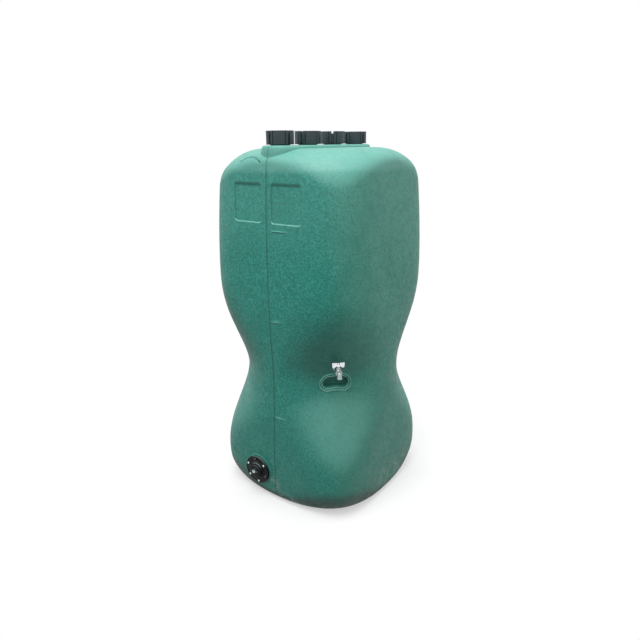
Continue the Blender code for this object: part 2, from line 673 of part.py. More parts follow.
def build_cap(number, material):
    """Build one screw cap around its own axis, with its lugs and its inner thread."""
    bottom = CAP_LIFT
    step = CAP_LIFT + CAP_COLLAR_HEIGHT
    shell = turned([
        (CAP_COLLAR_RADIUS, bottom),
        (CAP_COLLAR_RADIUS, step),
        (CAP_BODY_RADIUS, step),
        (CAP_BODY_RADIUS, CAP_DISC),
    ])
    cap = link_object(f"cap_{number + 1}", shell, material)
    lugs = merged([lug_sector(360.0 * i / LUG_COUNT) for i in range(LUG_COUNT)])
    bore = rod(CAP_BORE_RADIUS, -CAP_LIFT, CAP_CEILING)
    thread_start = NECK_THREAD_START - THREAD_PITCH / 2
    crest = NECK_RADIUS + THREAD_GAP
    ridge = helix(CAP_BORE_RADIUS + CAP_THREAD_ROOT_OVERLAP, crest, thread_start, 0.0)
    tools = (("UNION", "lugs", lugs), ("DIFFERENCE", "bore", bore), ("UNION", "thread", ridge))
    for operation, name, mesh in tools:
        tool = helper(f"cap_{number + 1}_{name}", mesh)
        tool.parent = cap
        combine(cap, operation, tool)
    cap.location = (0.0, CAP_PLACES[number], STRIP_TOP)
    cap.rotation_euler.z = math.radians(CAP_FACINGS[number])
    return cap


def build_cap_seal(number, material):
    """Build the flat ring that lies on one neck, under its cap."""
    low = NECK_HEIGHT + GAP
    ring = tube(NECK_BORE_RADIUS, CAP_BORE_RADIUS - 2 * THREAD_GAP, low, low + SEAL_THICKNESS)
    seal = link_object(f"cap_seal_{number + 1}", ring, material)
    seal.location = (0.0, CAP_PLACES[number], STRIP_TOP)
    return seal


def place_on_tap(thing, along=0.0):
    """Stand an upright piece of the tap at a distance out along the tap's axis."""
    thing.location = TAP_PLACE + CORNER * along
    thing.rotation_euler.z = CORNER_TURN
    return thing


def lay_on_tap(thing):
    """Lay a piece made along +Z on the tap's axis."""
    thing.matrix_world = outward(TAP_PLACE, CORNER_TURN)
    return thing


def lay_on_drain(thing):
    """Lay a piece made along +Z on the drain's axis."""
    thing.matrix_world = outward(DRAIN_PLACE, 0.0)
    return thing


def build_tap_body(material):
    """Build the tap's body: threaded tail, hexagon, ball chamber and bonnet."""
    shell = turned([
        (TAP_TAIL_RADIUS, -TAP_TAIL_END),
        (TAP_TAIL_RADIUS, TAP_BODY_START),
        (TAP_BARREL_RADIUS, TAP_BODY_START),
        (TAP_BARREL_RADIUS, TAP_BARREL_END),
    ], TAP_SIDES)
    body = lay_on_tap(link_object("tap_body", shell, material))
    upright = Matrix.Translation((0.0, 0.0, TAP_BALL_PLACE)) @ Matrix.Rotation(-math.pi / 2, 4, "X")
    bonnet = moved(rod(TAP_BONNET_RADIUS, 0.0, TAP_BONNET_HEIGHT, TAP_SIDES), upright)
    stem_hole = moved(rod(TAP_STEM_HOLE, 0.0, TAP_BONNET_HEIGHT + GAP, TAP_SIDES), upright)
    packing_hole = rod(TAP_PACKING_HOLE, TAP_PACKING_START - GAP, TAP_BONNET_HEIGHT + GAP, TAP_SIDES)
    tools = (
        ("UNION", "hexagon", hexagon(TAP_HEX_RADIUS, TAP_BODY_START, TAP_HEX_END)),
        ("UNION", "bonnet", bonnet),
        ("DIFFERENCE", "bore", rod(TAP_BORE_RADIUS, -2 * TAP_TAIL_END, TAP_CAVITY_START + GAP, TAP_SIDES)),
        ("DIFFERENCE", "chamber", rod(TAP_CAVITY_RADIUS, TAP_CAVITY_START, 2 * TAP_BARREL_END, TAP_SIDES)),
        ("DIFFERENCE", "stem_hole", stem_hole),
        ("DIFFERENCE", "packing_hole", moved(packing_hole, upright)),
    )
    for operation, name, mesh in tools:
        tool = helper(f"tap_body_{name}", mesh)
        tool.parent = body
        combine(body, operation, tool)
    return body


def build_tap_spout(material):
    """Build the spout that screws into the body and turns the water down."""
    nose = turned([
        (TAP_SEAT_RADIUS, TAP_NOSE_START),
        (TAP_SEAT_RADIUS, TAP_SPOUT_START),
        (TAP_BARREL_RADIUS, TAP_SPOUT_START),
        (TAP_BARREL_RADIUS, TAP_SPOUT_START + TAP_COLLAR_LENGTH),
        (TAP_SPOUT_RADIUS, TAP_SPOUT_START + TAP_COLLAR_LENGTH),
        (TAP_SPOUT_RADIUS, TAP_SPOUT_START + TAP_SPOUT_LENGTH - TAP_SPOUT_CORNER),
        (TAP_SPOUT_RADIUS - TAP_SPOUT_CORNER, TAP_SPOUT_START + TAP_SPOUT_LENGTH),
    ], TAP_SIDES)
    spout = lay_on_tap(link_object("tap_spout", nose, material))
    downward = Matrix.Translation((0.0, 0.0, TAP_SPOUT_AXIS)) @ Matrix.Rotation(math.pi / 2, 4, "X")
    pipe = moved(rod(TAP_SPOUT_RADIUS, 0.0, TAP_SPOUT_DROP, TAP_SIDES), downward)
    outlet = moved(rod(TAP_BORE_RADIUS, 0.0, 2 * TAP_SPOUT_DROP, TAP_SIDES), downward)
    tools = (
        ("UNION", "pipe", pipe),
        ("DIFFERENCE", "inlet", rod(TAP_BORE_RADIUS, 0.0, TAP_SPOUT_AXIS, TAP_SIDES)),
        ("DIFFERENCE", "outlet", outlet),
    )
    for operation, name, mesh in tools:
        tool = helper(f"tap_spout_{name}", mesh)
        tool.parent = spout
        combine(spout, operation, tool)
    return spout


def build_tap_ball(material):
    """Build the bored ball, closed: its bore lies across the flow."""
    mesh = bmesh.new()
    bmesh.ops.create_uvsphere(mesh, u_segments=TAP_SIDES, v_segments=TAP_SIDES // 2, radius=TAP_BALL_RADIUS)
    ball = link_object("tap_ball", mesh, material)
    across = Matrix.Rotation(math.pi / 2, 4, "Y")
    bore = moved(rod(TAP_BORE_RADIUS, -2 * TAP_BALL_RADIUS, 2 * TAP_BALL_RADIUS, TAP_SIDES), across)
    half_width, half_thickness = TAP_TANG_WIDTH / 2 + GAP, TAP_TANG_THICKNESS / 2 + GAP
    corners = ((half_width, half_thickness), (-half_width, half_thickness),
               (-half_width, -half_thickness), (half_width, -half_thickness))
    slot = prism(corners, TAP_BALL_RADIUS - TAP_TANG_DEPTH - GAP, 2 * TAP_BALL_RADIUS)
    for name, tool_mesh in (("bore", bore), ("slot", slot)):
        tool = helper(f"tap_ball_{name}", tool_mesh)
        tool.parent = ball
        combine(ball, "DIFFERENCE", tool)
    return place_on_tap(ball, TAP_BALL_PLACE)


def build_tap_stem(material):
    """Build the stem with the flat tang that turns the ball."""
    tang_top = TAP_CAVITY_RADIUS - GAP
    low = TAP_BALL_RADIUS - TAP_TANG_DEPTH
    half_width, half_thickness = TAP_TANG_WIDTH / 2, TAP_TANG_THICKNESS / 2
    corners = ((half_width, half_thickness), (-half_width, half_thickness),
               (-half_width, -half_thickness), (half_width, -half_thickness))
    shaft = rod(TAP_STEM_RADIUS, TAP_BALL_RADIUS + GAP, TAP_HUB_TOP, TAP_SIDES)
    stem = link_object("tap_stem", shaft, material)
    spigot = rod(TAP_SPIGOT_RADIUS, tang_top, TAP_STEM_TOP, TAP_SIDES)
    for name, mesh in (("tang", prism(corners, low, tang_top)), ("spigot", spigot)):
        tool = helper(f"tap_stem_{name}", mesh)
        tool.parent = stem
        combine(stem, "UNION", tool)
    return place_on_tap(stem, TAP_BALL_PLACE)


def wing_outline():
    """Return the butterfly handle's outline, seen from the front, as (x, height) points."""
    low, high = TAP_HUB_START, TAP_HUB_START + TAP_WING_HEIGHT
    tip = low + TAP_WING_DIP
    half = [
        (TAP_HUB_RADIUS / 2, low),
        (TAP_WING_REACH - TAP_WING_LOW_CORNER, tip),
        (TAP_WING_REACH, tip + TAP_WING_LOW_CORNER),
        (TAP_WING_REACH, high - TAP_WING_TOP_CORNER),
        (TAP_WING_REACH - TAP_WING_TOP_CORNER, high),
        (TAP_HUB_RADIUS, TAP_HUB_TOP),
    ]
    return half + [(-x, height) for x, height in reversed(half)]


def build_tap_handle(material):
    """Build the butterfly handle that stands across the tap when it is shut."""
    hub = rod(TAP_HUB_RADIUS, TAP_HUB_START, TAP_HUB_TOP, TAP_SIDES)
    handle = link_object("tap_handle", hub, material)
    half = TAP_WING_THICKNESS / 2
    wings = moved(prism(wing_outline(), -half, half), Matrix.Rotation(math.pi / 2, 4, "X"))
    hole = rod(TAP_STEM_HOLE, 0.0, 2 * TAP_STEM_TOP, TAP_SIDES)
    for operation, name, mesh in (("UNION", "wings", wings), ("DIFFERENCE", "hole", hole)):
        tool = helper(f"tap_handle_{name}", mesh)
        tool.parent = handle
        combine(handle, operation, tool)
    return place_on_tap(handle, TAP_BALL_PLACE)


def build_tap_rings(chrome, rubber, plastic, brass):
    """Build the tap's seats, packing, gland, nuts, gasket and washer."""
    hole = TAP_TAIL_RADIUS + GAP
    rear = TAP_CAVITY_START + GAP
    front = TAP_BALL_PLACE + TAP_BALL_AHEAD + GAP
    for name, start in (("tap_seat_rear", rear), ("tap_seat_front", front)):
        seat = tube(TAP_SEAT_HOLE, TAP_SEAT_RADIUS, start, start + TAP_SEAT_THICKNESS, TAP_SIDES)
        lay_on_tap(link_object(name, seat, plastic))
    gasket = tube(hole, TAP_GASKET_RADIUS, GAP, GAP + TAP_GASKET_THICKNESS, TAP_SIDES)
    lay_on_tap(link_object("tap_gasket", gasket, rubber))
    washer = tube(hole, TAP_BACKNUT_RADIUS, -TAP_WASHER_START - TAP_WASHER_THICKNESS, -TAP_WASHER_START,
                  TAP_SIDES)
    lay_on_tap(link_object("tap_washer", washer, rubber))
    backnut = hexagon(TAP_BACKNUT_RADIUS, -TAP_BACKNUT_START - TAP_BACKNUT_THICKNESS,
                      -TAP_BACKNUT_START, hole)
    lay_on_tap(link_object("tap_backnut", backnut, brass))
    packing_top = TAP_PACKING_START + TAP_PACKING_THICKNESS
    packing = tube(TAP_STEM_HOLE, TAP_PACKING_RADIUS, TAP_PACKING_START, packing_top, TAP_SIDES)
    place_on_tap(link_object("tap_packing", packing, plastic), TAP_BALL_PLACE)
    gland = turned_ring([
        (TAP_STEM_HOLE, TAP_GLAND_START),
        (TAP_PACKING_RADIUS, TAP_GLAND_START),
        (TAP_PACKING_RADIUS, TAP_BONNET_HEIGHT + GAP),
        (TAP_BONNET_RADIUS, TAP_BONNET_HEIGHT + GAP),
        (TAP_BONNET_RADIUS, TAP_GLAND_TOP),
        (TAP_STEM_HOLE, TAP_GLAND_TOP),
    ], TAP_SIDES)
    place_on_tap(link_object("tap_gland", gland, chrome), TAP_BALL_PLACE)
    nut = hexagon(TAP_HANDLE_NUT_RADIUS, TAP_NUT_START, TAP_STEM_TOP, TAP_SPIGOT_RADIUS + GAP)
    place_on_tap(link_object("tap_handle_nut", nut, chrome), TAP_BALL_PLACE)


def drilled_ring(name, inner, outer, low, high, material):
    """Build a flat ring of the drain with its bolt holes."""
    ring = lay_on_drain(link_object(name, tube(inner, outer, low, high, DRAIN_SIDES), material))
    margin = high - low
    drills = at_bolts(lambda: rod(DRAIN_HOLE_RADIUS, low - margin, high + margin, BOLT_SIDES))
    holes = helper(f"{name}_holes", drills)
    holes.parent = ring
    combine(ring, "DIFFERENCE", holes)
    return ring


def build_drain_flange(material):
    """Build the black flange with its raised, threaded middle."""
    profile = [
        (PLUG_BORE_RADIUS, DRAIN_FLANGE_START),
        (DRAIN_FLANGE_RADIUS, DRAIN_FLANGE_START),
        (DRAIN_FLANGE_RADIUS, DRAIN_FLANGE_END - DRAIN_FLANGE_CHAMFER),
        (DRAIN_FLANGE_RADIUS - DRAIN_FLANGE_CHAMFER, DRAIN_FLANGE_END),
        (DRAIN_BOSS_RADIUS, DRAIN_FLANGE_END),
        (DRAIN_BOSS_RADIUS, DRAIN_BOSS_END),
        (PLUG_BORE_RADIUS, DRAIN_BOSS_END),
    ]
    flange = lay_on_drain(link_object("drain_flange", turned_ring(profile, DRAIN_SIDES), material))
    drills = at_bolts(lambda: rod(DRAIN_HOLE_RADIUS, 0.0, 2 * DRAIN_FLANGE_END, BOLT_SIDES))
    holes = helper("drain_flange_holes", drills)
    holes.parent = flange
    combine(flange, "DIFFERENCE", holes)
    return flange


def bolt_shape():
    """Return one bolt along +Z: its shank starts inside the tank and its head seats on the flange."""
    head = DRAIN_FLANGE_END + GAP
    return turned([
        (DRAIN_BOLT_RADIUS, -DRAIN_BOLT_END),
        (DRAIN_BOLT_RADIUS, head),
        (DRAIN_BOLT_HEAD_RADIUS, head),
        (DRAIN_BOLT_HEAD_RADIUS, head + DRAIN_BOLT_HEAD_HEIGHT - DRAIN_BOLT_HEAD_CHAMFER),
        (DRAIN_BOLT_HEAD_RADIUS - DRAIN_BOLT_HEAD_CHAMFER, head + DRAIN_BOLT_HEAD_HEIGHT),
    ], BOLT_SIDES)


def nut_shape():
    """Return one nut of the drain's bolts."""
    return hexagon(DRAIN_NUT_RADIUS, -DRAIN_NUT_START - DRAIN_NUT_HEIGHT, -DRAIN_NUT_START,
                   DRAIN_BOLT_RADIUS + GAP)


def fasten_drain(name, mesh, material):
    """Place one numbered copy of a fastener at each of the drain's bolts."""
    first = link_object(f"{name}_1", mesh, material)
    for number, (x, y) in enumerate(bolt_places(), start=1):
        fastener = first
        if number > 1:
            fastener = bpy.data.objects.new(f"{name}_{number}", first.data)
            bpy.context.scene.collection.objects.link(fastener)
        fastener.matrix_world = outward(DRAIN_PLACE, 0.0) @ Matrix.Translation((x, y, 0.0))


def build_drain_plug(material):
    """Build the screw plug with its grip bar."""
    head_end = PLUG_HEAD_START + PLUG_HEAD_THICKNESS
    shell = turned([
        (PLUG_BODY_RADIUS, PLUG_HEAD_START - PLUG_BODY_LENGTH),
        (PLUG_BODY_RADIUS, PLUG_HEAD_START),
        (PLUG_HEAD_RADIUS, PLUG_HEAD_START),
        (PLUG_HEAD_RADIUS, head_end),
    ])
    plug = lay_on_drain(link_object("drain_plug", shell, material))
    half_length, half_width = PLUG_GRIP_LENGTH / 2, PLUG_GRIP_WIDTH / 2
    corners = ((half_length, half_width), (-half_length, half_width),
               (-half_length, -half_width), (half_length, -half_width))
    bar = prism(corners, head_end - PLUG_HEAD_THICKNESS / 2, head_end + PLUG_GRIP_HEIGHT)
    grip = helper("drain_plug_grip", bar)
    grip.parent = plug
    combine(plug, "UNION", grip)
    return plug


def build_drain(black, rubber, steel):
    """Build the drain flange and everything that fastens and closes it."""
    build_drain_flange(black)
    drilled_ring("drain_gasket", DRAIN_BORE_RADIUS, DRAIN_GASKET_RADIUS,
                 GAP, GAP + DRAIN_GASKET_THICKNESS, rubber)
    drilled_ring("drain_backing_ring", DRAIN_BORE_RADIUS, DRAIN_RING_RADIUS,
                 -DRAIN_RING_START - DRAIN_RING_THICKNESS, -DRAIN_RING_START, black)
    fasten_drain("drain_bolt", bolt_shape(), steel)
    fasten_drain("drain_nut", nut_shape(), steel)
    seal_start = DRAIN_BOSS_END + GAP
    seal = tube(PLUG_BORE_RADIUS, PLUG_HEAD_RADIUS, seal_start, seal_start + PLUG_SEAL_THICKNESS)
    lay_on_drain(link_object("drain_plug_seal", seal, rubber))
    build_drain_plug(black)


def main():
    """Build the whole tank."""
    clear_scene()
    green = make_material("green_plastic", (0.050, 0.185, 0.140), 0.55)
    black = make_material("black_plastic", (0.018, 0.025, 0.030), 0.45)
    rubber = make_material("black_rubber", (0.012, 0.012, 0.012), 0.80)
    white = make_material("white_plastic", (0.750, 0.740, 0.700), 0.50)
    chrome = make_material("chrome", (0.720, 0.730, 0.740), 0.18, 1.0)
    brass = make_material("brass", (0.620, 0.420, 0.160), 0.35, 1.0)
    steel = make_material("plated_steel", (0.600, 0.610, 0.620), 0.30, 1.0)
    build_tank(green)
    for number in range(CAP_COUNT):
        build_cap(number, black)
        build_cap_seal(number, rubber)
    build_tap_body(chrome)
    build_tap_spout(chrome)
    build_tap_ball(chrome)
    build_tap_stem(steel)
    build_tap_handle(chrome)
    build_tap_rings(chrome, rubber, white, brass)
    build_drain(black, rubber, steel)
    bpy.context.view_layer.update()


main()
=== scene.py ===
"""Looks of a green rainwater tank with a pinched waist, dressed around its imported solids.

The tank's skin, its screw caps, its tap and its drain flange are built here as finely as they are
seen, in metres and in the frame of the solids. The studio at the end holds the camera and lights.
"""

import functools
import json
import logging
import math
from dataclasses import dataclass, field
from enum import Enum
from typing import Iterable, Sequence

import bmesh
import bpy
import numpy as np
from mathutils import Matrix, Vector


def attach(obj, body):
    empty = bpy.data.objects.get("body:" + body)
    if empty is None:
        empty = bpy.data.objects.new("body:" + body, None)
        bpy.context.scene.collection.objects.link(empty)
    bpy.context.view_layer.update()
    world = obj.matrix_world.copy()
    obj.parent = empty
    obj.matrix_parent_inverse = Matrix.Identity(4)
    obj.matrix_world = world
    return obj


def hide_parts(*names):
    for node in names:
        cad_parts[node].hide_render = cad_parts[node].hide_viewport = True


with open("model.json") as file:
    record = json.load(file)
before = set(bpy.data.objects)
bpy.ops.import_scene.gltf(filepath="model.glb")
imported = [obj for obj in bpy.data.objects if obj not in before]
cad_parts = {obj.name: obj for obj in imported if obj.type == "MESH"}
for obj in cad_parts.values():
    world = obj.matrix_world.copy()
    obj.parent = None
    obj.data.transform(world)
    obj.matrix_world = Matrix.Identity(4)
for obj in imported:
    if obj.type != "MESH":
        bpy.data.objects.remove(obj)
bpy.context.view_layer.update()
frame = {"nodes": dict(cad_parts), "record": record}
LOG = logging.getLogger("rainwater_tank")
Colour = tuple[float, float, float]
Place = tuple[float, float, float]
Socket = bpy.types.NodeSocket
Draft = bmesh.types.BMesh
Pair = tuple[float, float]
Outline = list[Pair]
Material = bpy.types.Material
MeshData = bpy.types.Mesh
HALF_ROOT = math.sqrt(0.5)


class Operation(Enum):
    """How one closed mesh changes another."""

    JOIN = "UNION"
    CUT = "DIFFERENCE"


JOIN, CUT = Operation.JOIN, Operation.CUT


def srgb(red: int, green: int, blue: int) -> Colour:
    """Return the linear colour of three 8-bit screen values.

    Args:
        red: Screen red, 0 to 255.
        green: Screen green, 0 to 255.
        blue: Screen blue, 0 to 255.

    Returns:
        The colour as Blender's shaders read it.
    """
    def linear(value: int) -> float:
        """Return one channel without the screen's curve."""
        share = value / 255.0
        return share / 12.92 if share <= 0.04045 else ((share + 0.055) / 1.055) ** 2.4
    return linear(red), linear(green), linear(blue)


def ease(share: np.ndarray | float) -> np.ndarray | float:
    """Return a 0 to 1 share with level ends.

    Args:
        share: The share, which is clipped to 0 and 1 first.

    Returns:
        The eased share.
    """
    share = np.clip(share, 0.0, 1.0)
    return share * share * (3.0 - 2.0 * share)


def outward(place: Vector, turn: float) -> Matrix:
    """Return the matrix that lays a shape's +Z along a level axis that leaves the tank.

    Args:
        place: Where the shape's origin goes.
        turn: Angle of the axis from -Y towards +X, in radians.

    Returns:
        The matrix. The shape's +X stays level and its +Y points up.
    """
    lying = Matrix.Rotation(math.pi / 2, 4, "X")
    return Matrix.Translation(place) @ Matrix.Rotation(turn, 4, "Z") @ lying


def polar(radius: float, turn: float) -> Pair:
    """Return the (x, y) of a distance from the axis and an angle in radians."""
    return radius * math.cos(turn), radius * math.sin(turn)


def run(first: float, last: float, step: float) -> list[float]:
    """Return evenly spaced numbers from a first one up to a last one, which is left out."""
    return list(np.arange(first, last, step))


def thinned(values: Iterable[float], gap: float) -> list[float]:
    """Sort numbers and drop those that follow another too closely.

    Args:
        values: The numbers.
        gap: The least step that is kept.

    Returns:
        The numbers that are left, in rising order.
    """
    kept: list[float] = []
    for value in sorted(values):
        if not kept or value - kept[-1] > gap:
            kept.append(float(value))
    return kept


def corner_view(points: np.ndarray) -> tuple[np.ndarray, np.ndarray]:
    """Return how far each point lies out along the tap's corner, and how far across it."""
    x, y = points[..., 0], points[..., 1]
    return (x - y) * HALF_ROOT, (x + y) * HALF_ROOT


def push_out(points: np.ndarray, shift: np.ndarray) -> None:
    """Move points out along the tap's corner, in place."""
    points[..., 0] += shift * HALF_ROOT
    points[..., 1] -= shift * HALF_ROOT


def circle(radius: float, height: float, sides: int, first: float = 0.5) -> list[Vector]:
    """Return the points of a level ring.

    Args:
        radius: Radius of the ring.
        height: Its height.
        sides: How many points it has.
        first: Place of the first point, as a share of a step from +X.

    Returns:
        The points, counter-clockwise from above.
    """
    turns = [2.0 * math.pi * (i + first) / sides for i in range(sides)]
    return [Vector((*polar(radius, turn), height)) for turn in turns]


def loft(rings: Sequence[Sequence[Vector]], ends: bool = True) -> Draft:
    """Skin rings of equal length.

    Args:
        rings: The rings, in order.
        ends: Whether to close the first and last ring. Without it the last joins the first.

    Returns:
        The mesh.
    """
    mesh = bmesh.new()
    loops = [[mesh.verts.new(point) for point in ring] for ring in rings]
    count = len(loops[0])
    pairs = list(zip(loops, loops[1:]))
    if not ends:
        pairs.append((loops[-1], loops[0]))
    for low, high in pairs:
        for i in range(count):
            j = (i + 1) % count
            mesh.faces.new((low[i], low[j], high[j], high[i]))
    if ends:
        mesh.faces.new(loops[0])
        mesh.faces.new(loops[-1])
    return mesh


def turned(profile: Outline, sides: int = 96, ring: bool = False) -> Draft:
    """Turn a profile around the Z axis.

    Args:
        profile: The (radius, height) pairs, off the axis.
        sides: How many facets go round.
        ring: Whether the profile closes on itself, as a washer's does.

    Returns:
        The mesh.
    """
    return loft([circle(r, z, sides) for r, z in profile], ends=not ring)


def rod(radius: float, low: float, high: float, sides: int = 96) -> Draft:
    """Make a plain round rod around Z."""
    return turned([(radius, low), (radius, high)], sides)


def prism(outline: Outline, low: float, high: float, round_top: float = 0.0,
          round_low: float = 0.0) -> Draft:
    """Raise a flat outline, with rounded edges where they are asked for.

    Args:
        outline: The (x, y) points, counter-clockwise.
        low: Height of the bottom.
        high: Height of the top.
        round_top: Radius of the top edge.
        round_low: Radius of the bottom edge.

    Returns:
        The mesh.
    """
    def edge(radius: float, end: float, way: float) -> list[Pair]:
        """Round one edge.

        Args:
            radius: Its radius.
            end: Height of the end face.
            way: 1 where the side lies above that face, -1 where it lies below.

        Returns:
            The (inset, height) pairs, from the end face to the side.
        """
        if radius <= 0.0:
            return [(0.0, end)]
        leans = [math.pi / 2 * i / 4 for i in range(5)]
        return [(radius * (1.0 - math.sin(lean)), end + way * radius * (1.0 - math.cos(lean)))
                for lean in leans]

    levels = edge(round_low, low, 1.0) + edge(round_top, high, -1.0)[::-1]
    inner = ways_in(outline)
    rings = [[Vector((x + nx * inset, y + ny * inset, z))
              for (x, y), (nx, ny) in zip(outline, inner)] for inset, z in levels]
    return loft(rings)


def ways_in(outline: Outline) -> Outline:
    """Find the way in at each point of an outline.

    Args:
        outline: The (x, y) points, counter-clockwise.

    Returns:
        The inward direction at each point, longer where a corner is sharp.
    """
    count = len(outline)
    found = []
    for i, (x, y) in enumerate(outline):
        (ax, ay), (bx, by) = outline[i - 1], outline[(i + 1) % count]
        first = Vector((x - ax, y - ay)).normalized()
        second = Vector((bx - x, by - y)).normalized()
        inward = Vector((-(first.y + second.y), first.x + second.x))
        inward = inward.normalized() / max(math.sqrt((1.0 + first.dot(second)) / 2.0), 0.5)
        found.append((inward.x, inward.y))
    return found


def rounded(corners: Outline, radius: float, steps: int = 5) -> Outline:
    """Round the corners of a polygon.

    Args:
        corners: The polygon's (x, y) corners.
        radius: Radius of every corner.
        steps: How many edges each corner gets.

    Returns:
        The rounded outline.
    """
    points = []
    count = len(corners)
    for i, corner in enumerate(corners):
        here = Vector(corner)
        back = (Vector(corners[i - 1]) - here).normalized()
        ahead = (Vector(corners[(i + 1) % count]) - here).normalized()
        half = back.angle(ahead) / 2.0
        reach = radius / math.tan(half)
        middle = here + (back + ahead).normalized() * radius / math.sin(half)
        start, end = here + back * reach - middle, here + ahead * reach - middle
        for k in range(steps + 1):
            spoke = start.slerp(end, k / steps).normalized() * radius
            points.append((middle.x + spoke.x, middle.y + spoke.y))
    return points


def hexagon(radius: float, low: float, high: float, bevel: float = 0.0008) -> Draft:
    """Make a six-sided block around Z with eased corners and edges, from its corner radius."""
    corners = [polar(radius, math.pi / 3 * i) for i in range(6)]
    return prism(rounded(corners, bevel * 1.2, 4), low, high, bevel, bevel)


def swept(path: Outline, radii: Sequence[float], sides: int = 48) -> Draft:
    """Sweep a circle along a path that lies in the plane of Y and Z.

    Args:
        path: The (y, z) points.
        radii: The circle's radius at each point.
        sides: How many facets go round.

    Returns:
        The mesh.
    """
    side = Vector((1.0, 0.0, 0.0))
    rings = []
    for i, ((y, z), radius) in enumerate(zip(path, radii)):
        (ya, za), (yb, zb) = path[max(i - 1, 0)], path[min(i + 1, len(path) - 1)]
        above = Vector((0.0, yb - ya, zb - za)).normalized().cross(side)
        turns = [2.0 * math.pi * k / sides for k in range(sides)]
        middle = Vector((0.0, y, z))
        rings.append([middle + side * radius * math.cos(a) + above * radius * math.sin(a)
                      for a in turns])
    return loft(rings)


def helix(root: float, crest: float, start: float, first: float) -> Draft:
    """Make a right-handed thread ridge around Z that thins to nothing at its ends.

    Args:
        root: Radius where the ridge leaves its wall.
        crest: Radius of its tip.
        start: Height of its first end.
        first: Angle of its first end, in radians.

    Returns:
        The mesh.
    """
    pitch, turns, steps = 0.006, 1.5, 96
    root_width, crest_width = 0.003, 0.0012
    count = round(turns * steps)
    rings = []
    for i in range(count + 1):
        angle = first + 2.0 * math.pi * i / steps
        height = start + pitch * i / steps
        full = float(ease((1.5 + min(i, count - i)) / (steps / 6.0)))
        tip = root + (crest - root) * max(full, 0.05)
        wide, thin = root_width / 2 * full + 2e-5, crest_width / 2 * full + 1e-5
        section = ((root, -wide), (tip, -thin), (tip, thin), (root, wide))
        rings.append([Vector((*polar(radius, angle), height + z)) for radius, z in section])
    return loft(rings)


def moved(mesh: Draft, matrix: Matrix) -> Draft:
    """Move a mesh and hand it back."""
    bmesh.ops.transform(mesh, matrix=matrix, verts=mesh.verts)
    return mesh


def merged(meshes: Iterable[Draft]) -> Draft:
    """Gather meshes into one and free them.

    Args:
        meshes: The meshes.

    Returns:
        One mesh that holds them all.
    """
    whole = bmesh.new()
    for mesh in meshes:
        data = bpy.data.meshes.new("gathered")
        mesh.to_mesh(data)
        mesh.free()
        whole.from_mesh(data)
        bpy.data.meshes.remove(data)
    return whole


def as_data(name: str, mesh: Draft) -> MeshData:
    """Turn a bmesh into mesh data with its faces looking out.

    Args:
        name: Name of the data.
        mesh: The bmesh, which is freed.

    Returns:
        The mesh data.
    """
    bmesh.ops.recalc_face_normals(mesh, faces=mesh.faces)
    data = bpy.data.meshes.new(name)
    mesh.to_mesh(data)
    mesh.free()
    return data


def carved(name: str, base: MeshData | Draft,
           steps: Sequence[tuple[Operation, Draft]]) -> MeshData:
    """Join closed meshes to a base, or cut them away, one after another.

    Args:
        name: Name of the result.
        base: The mesh to start from.
        steps: Each operation with its tool.

    Returns:
        The finished mesh data.
    """
    scene = bpy.context.scene
    if isinstance(base, Draft):
        base = as_data(name, base)
    target = bpy.data.objects.new(f"{name}_base", base)
    scene.collection.objects.link(target)
    tools = []
    for number, (operation, mesh) in enumerate(steps):
        tool = bpy.data.objects.new(f"{name}_tool_{number}", as_data(f"{name}_tool", mesh))
        scene.collection.objects.link(tool)
        step = target.modifiers.new(tool.name, "BOOLEAN")
        step.operation, step.solver, step.object = operation.value, "MANIFOLD", tool
        tools.append(tool)
    depsgraph = bpy.context.evaluated_depsgraph_get()
    result = bpy.data.meshes.new_from_object(target.evaluated_get(depsgraph), depsgraph=depsgraph)
    result.name = name
    for thing in (target, *tools):
        left = thing.data
        bpy.data.objects.remove(thing)
        bpy.data.meshes.remove(left)
    return result


def piece(name: str, data: MeshData, body: str, node: str,
          material: Material, crease: float = 32.0) -> bpy.types.Object:
    """Show a mesh in place of one of the solids.

    Args:
        name: Name of the piece.
        data: Its mesh.
        body: The moving body that carries it.
        node: The solid that it stands for.
        material: Its finish.
        crease: Angle from which an edge stays sharp, in degrees.

    Returns:
        The object.
    """
    data.shade_smooth()
    data.set_sharp_from_angle(angle=math.radians(crease))
    data.materials.clear()
    data.materials.append(material)
    thing = bpy.data.objects.new(name, data)
    bpy.context.scene.collection.objects.link(thing)
    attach(thing, body)
    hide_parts(node)
    LOG.info("%s: %d faces", name, len(data.polygons))
    return thing


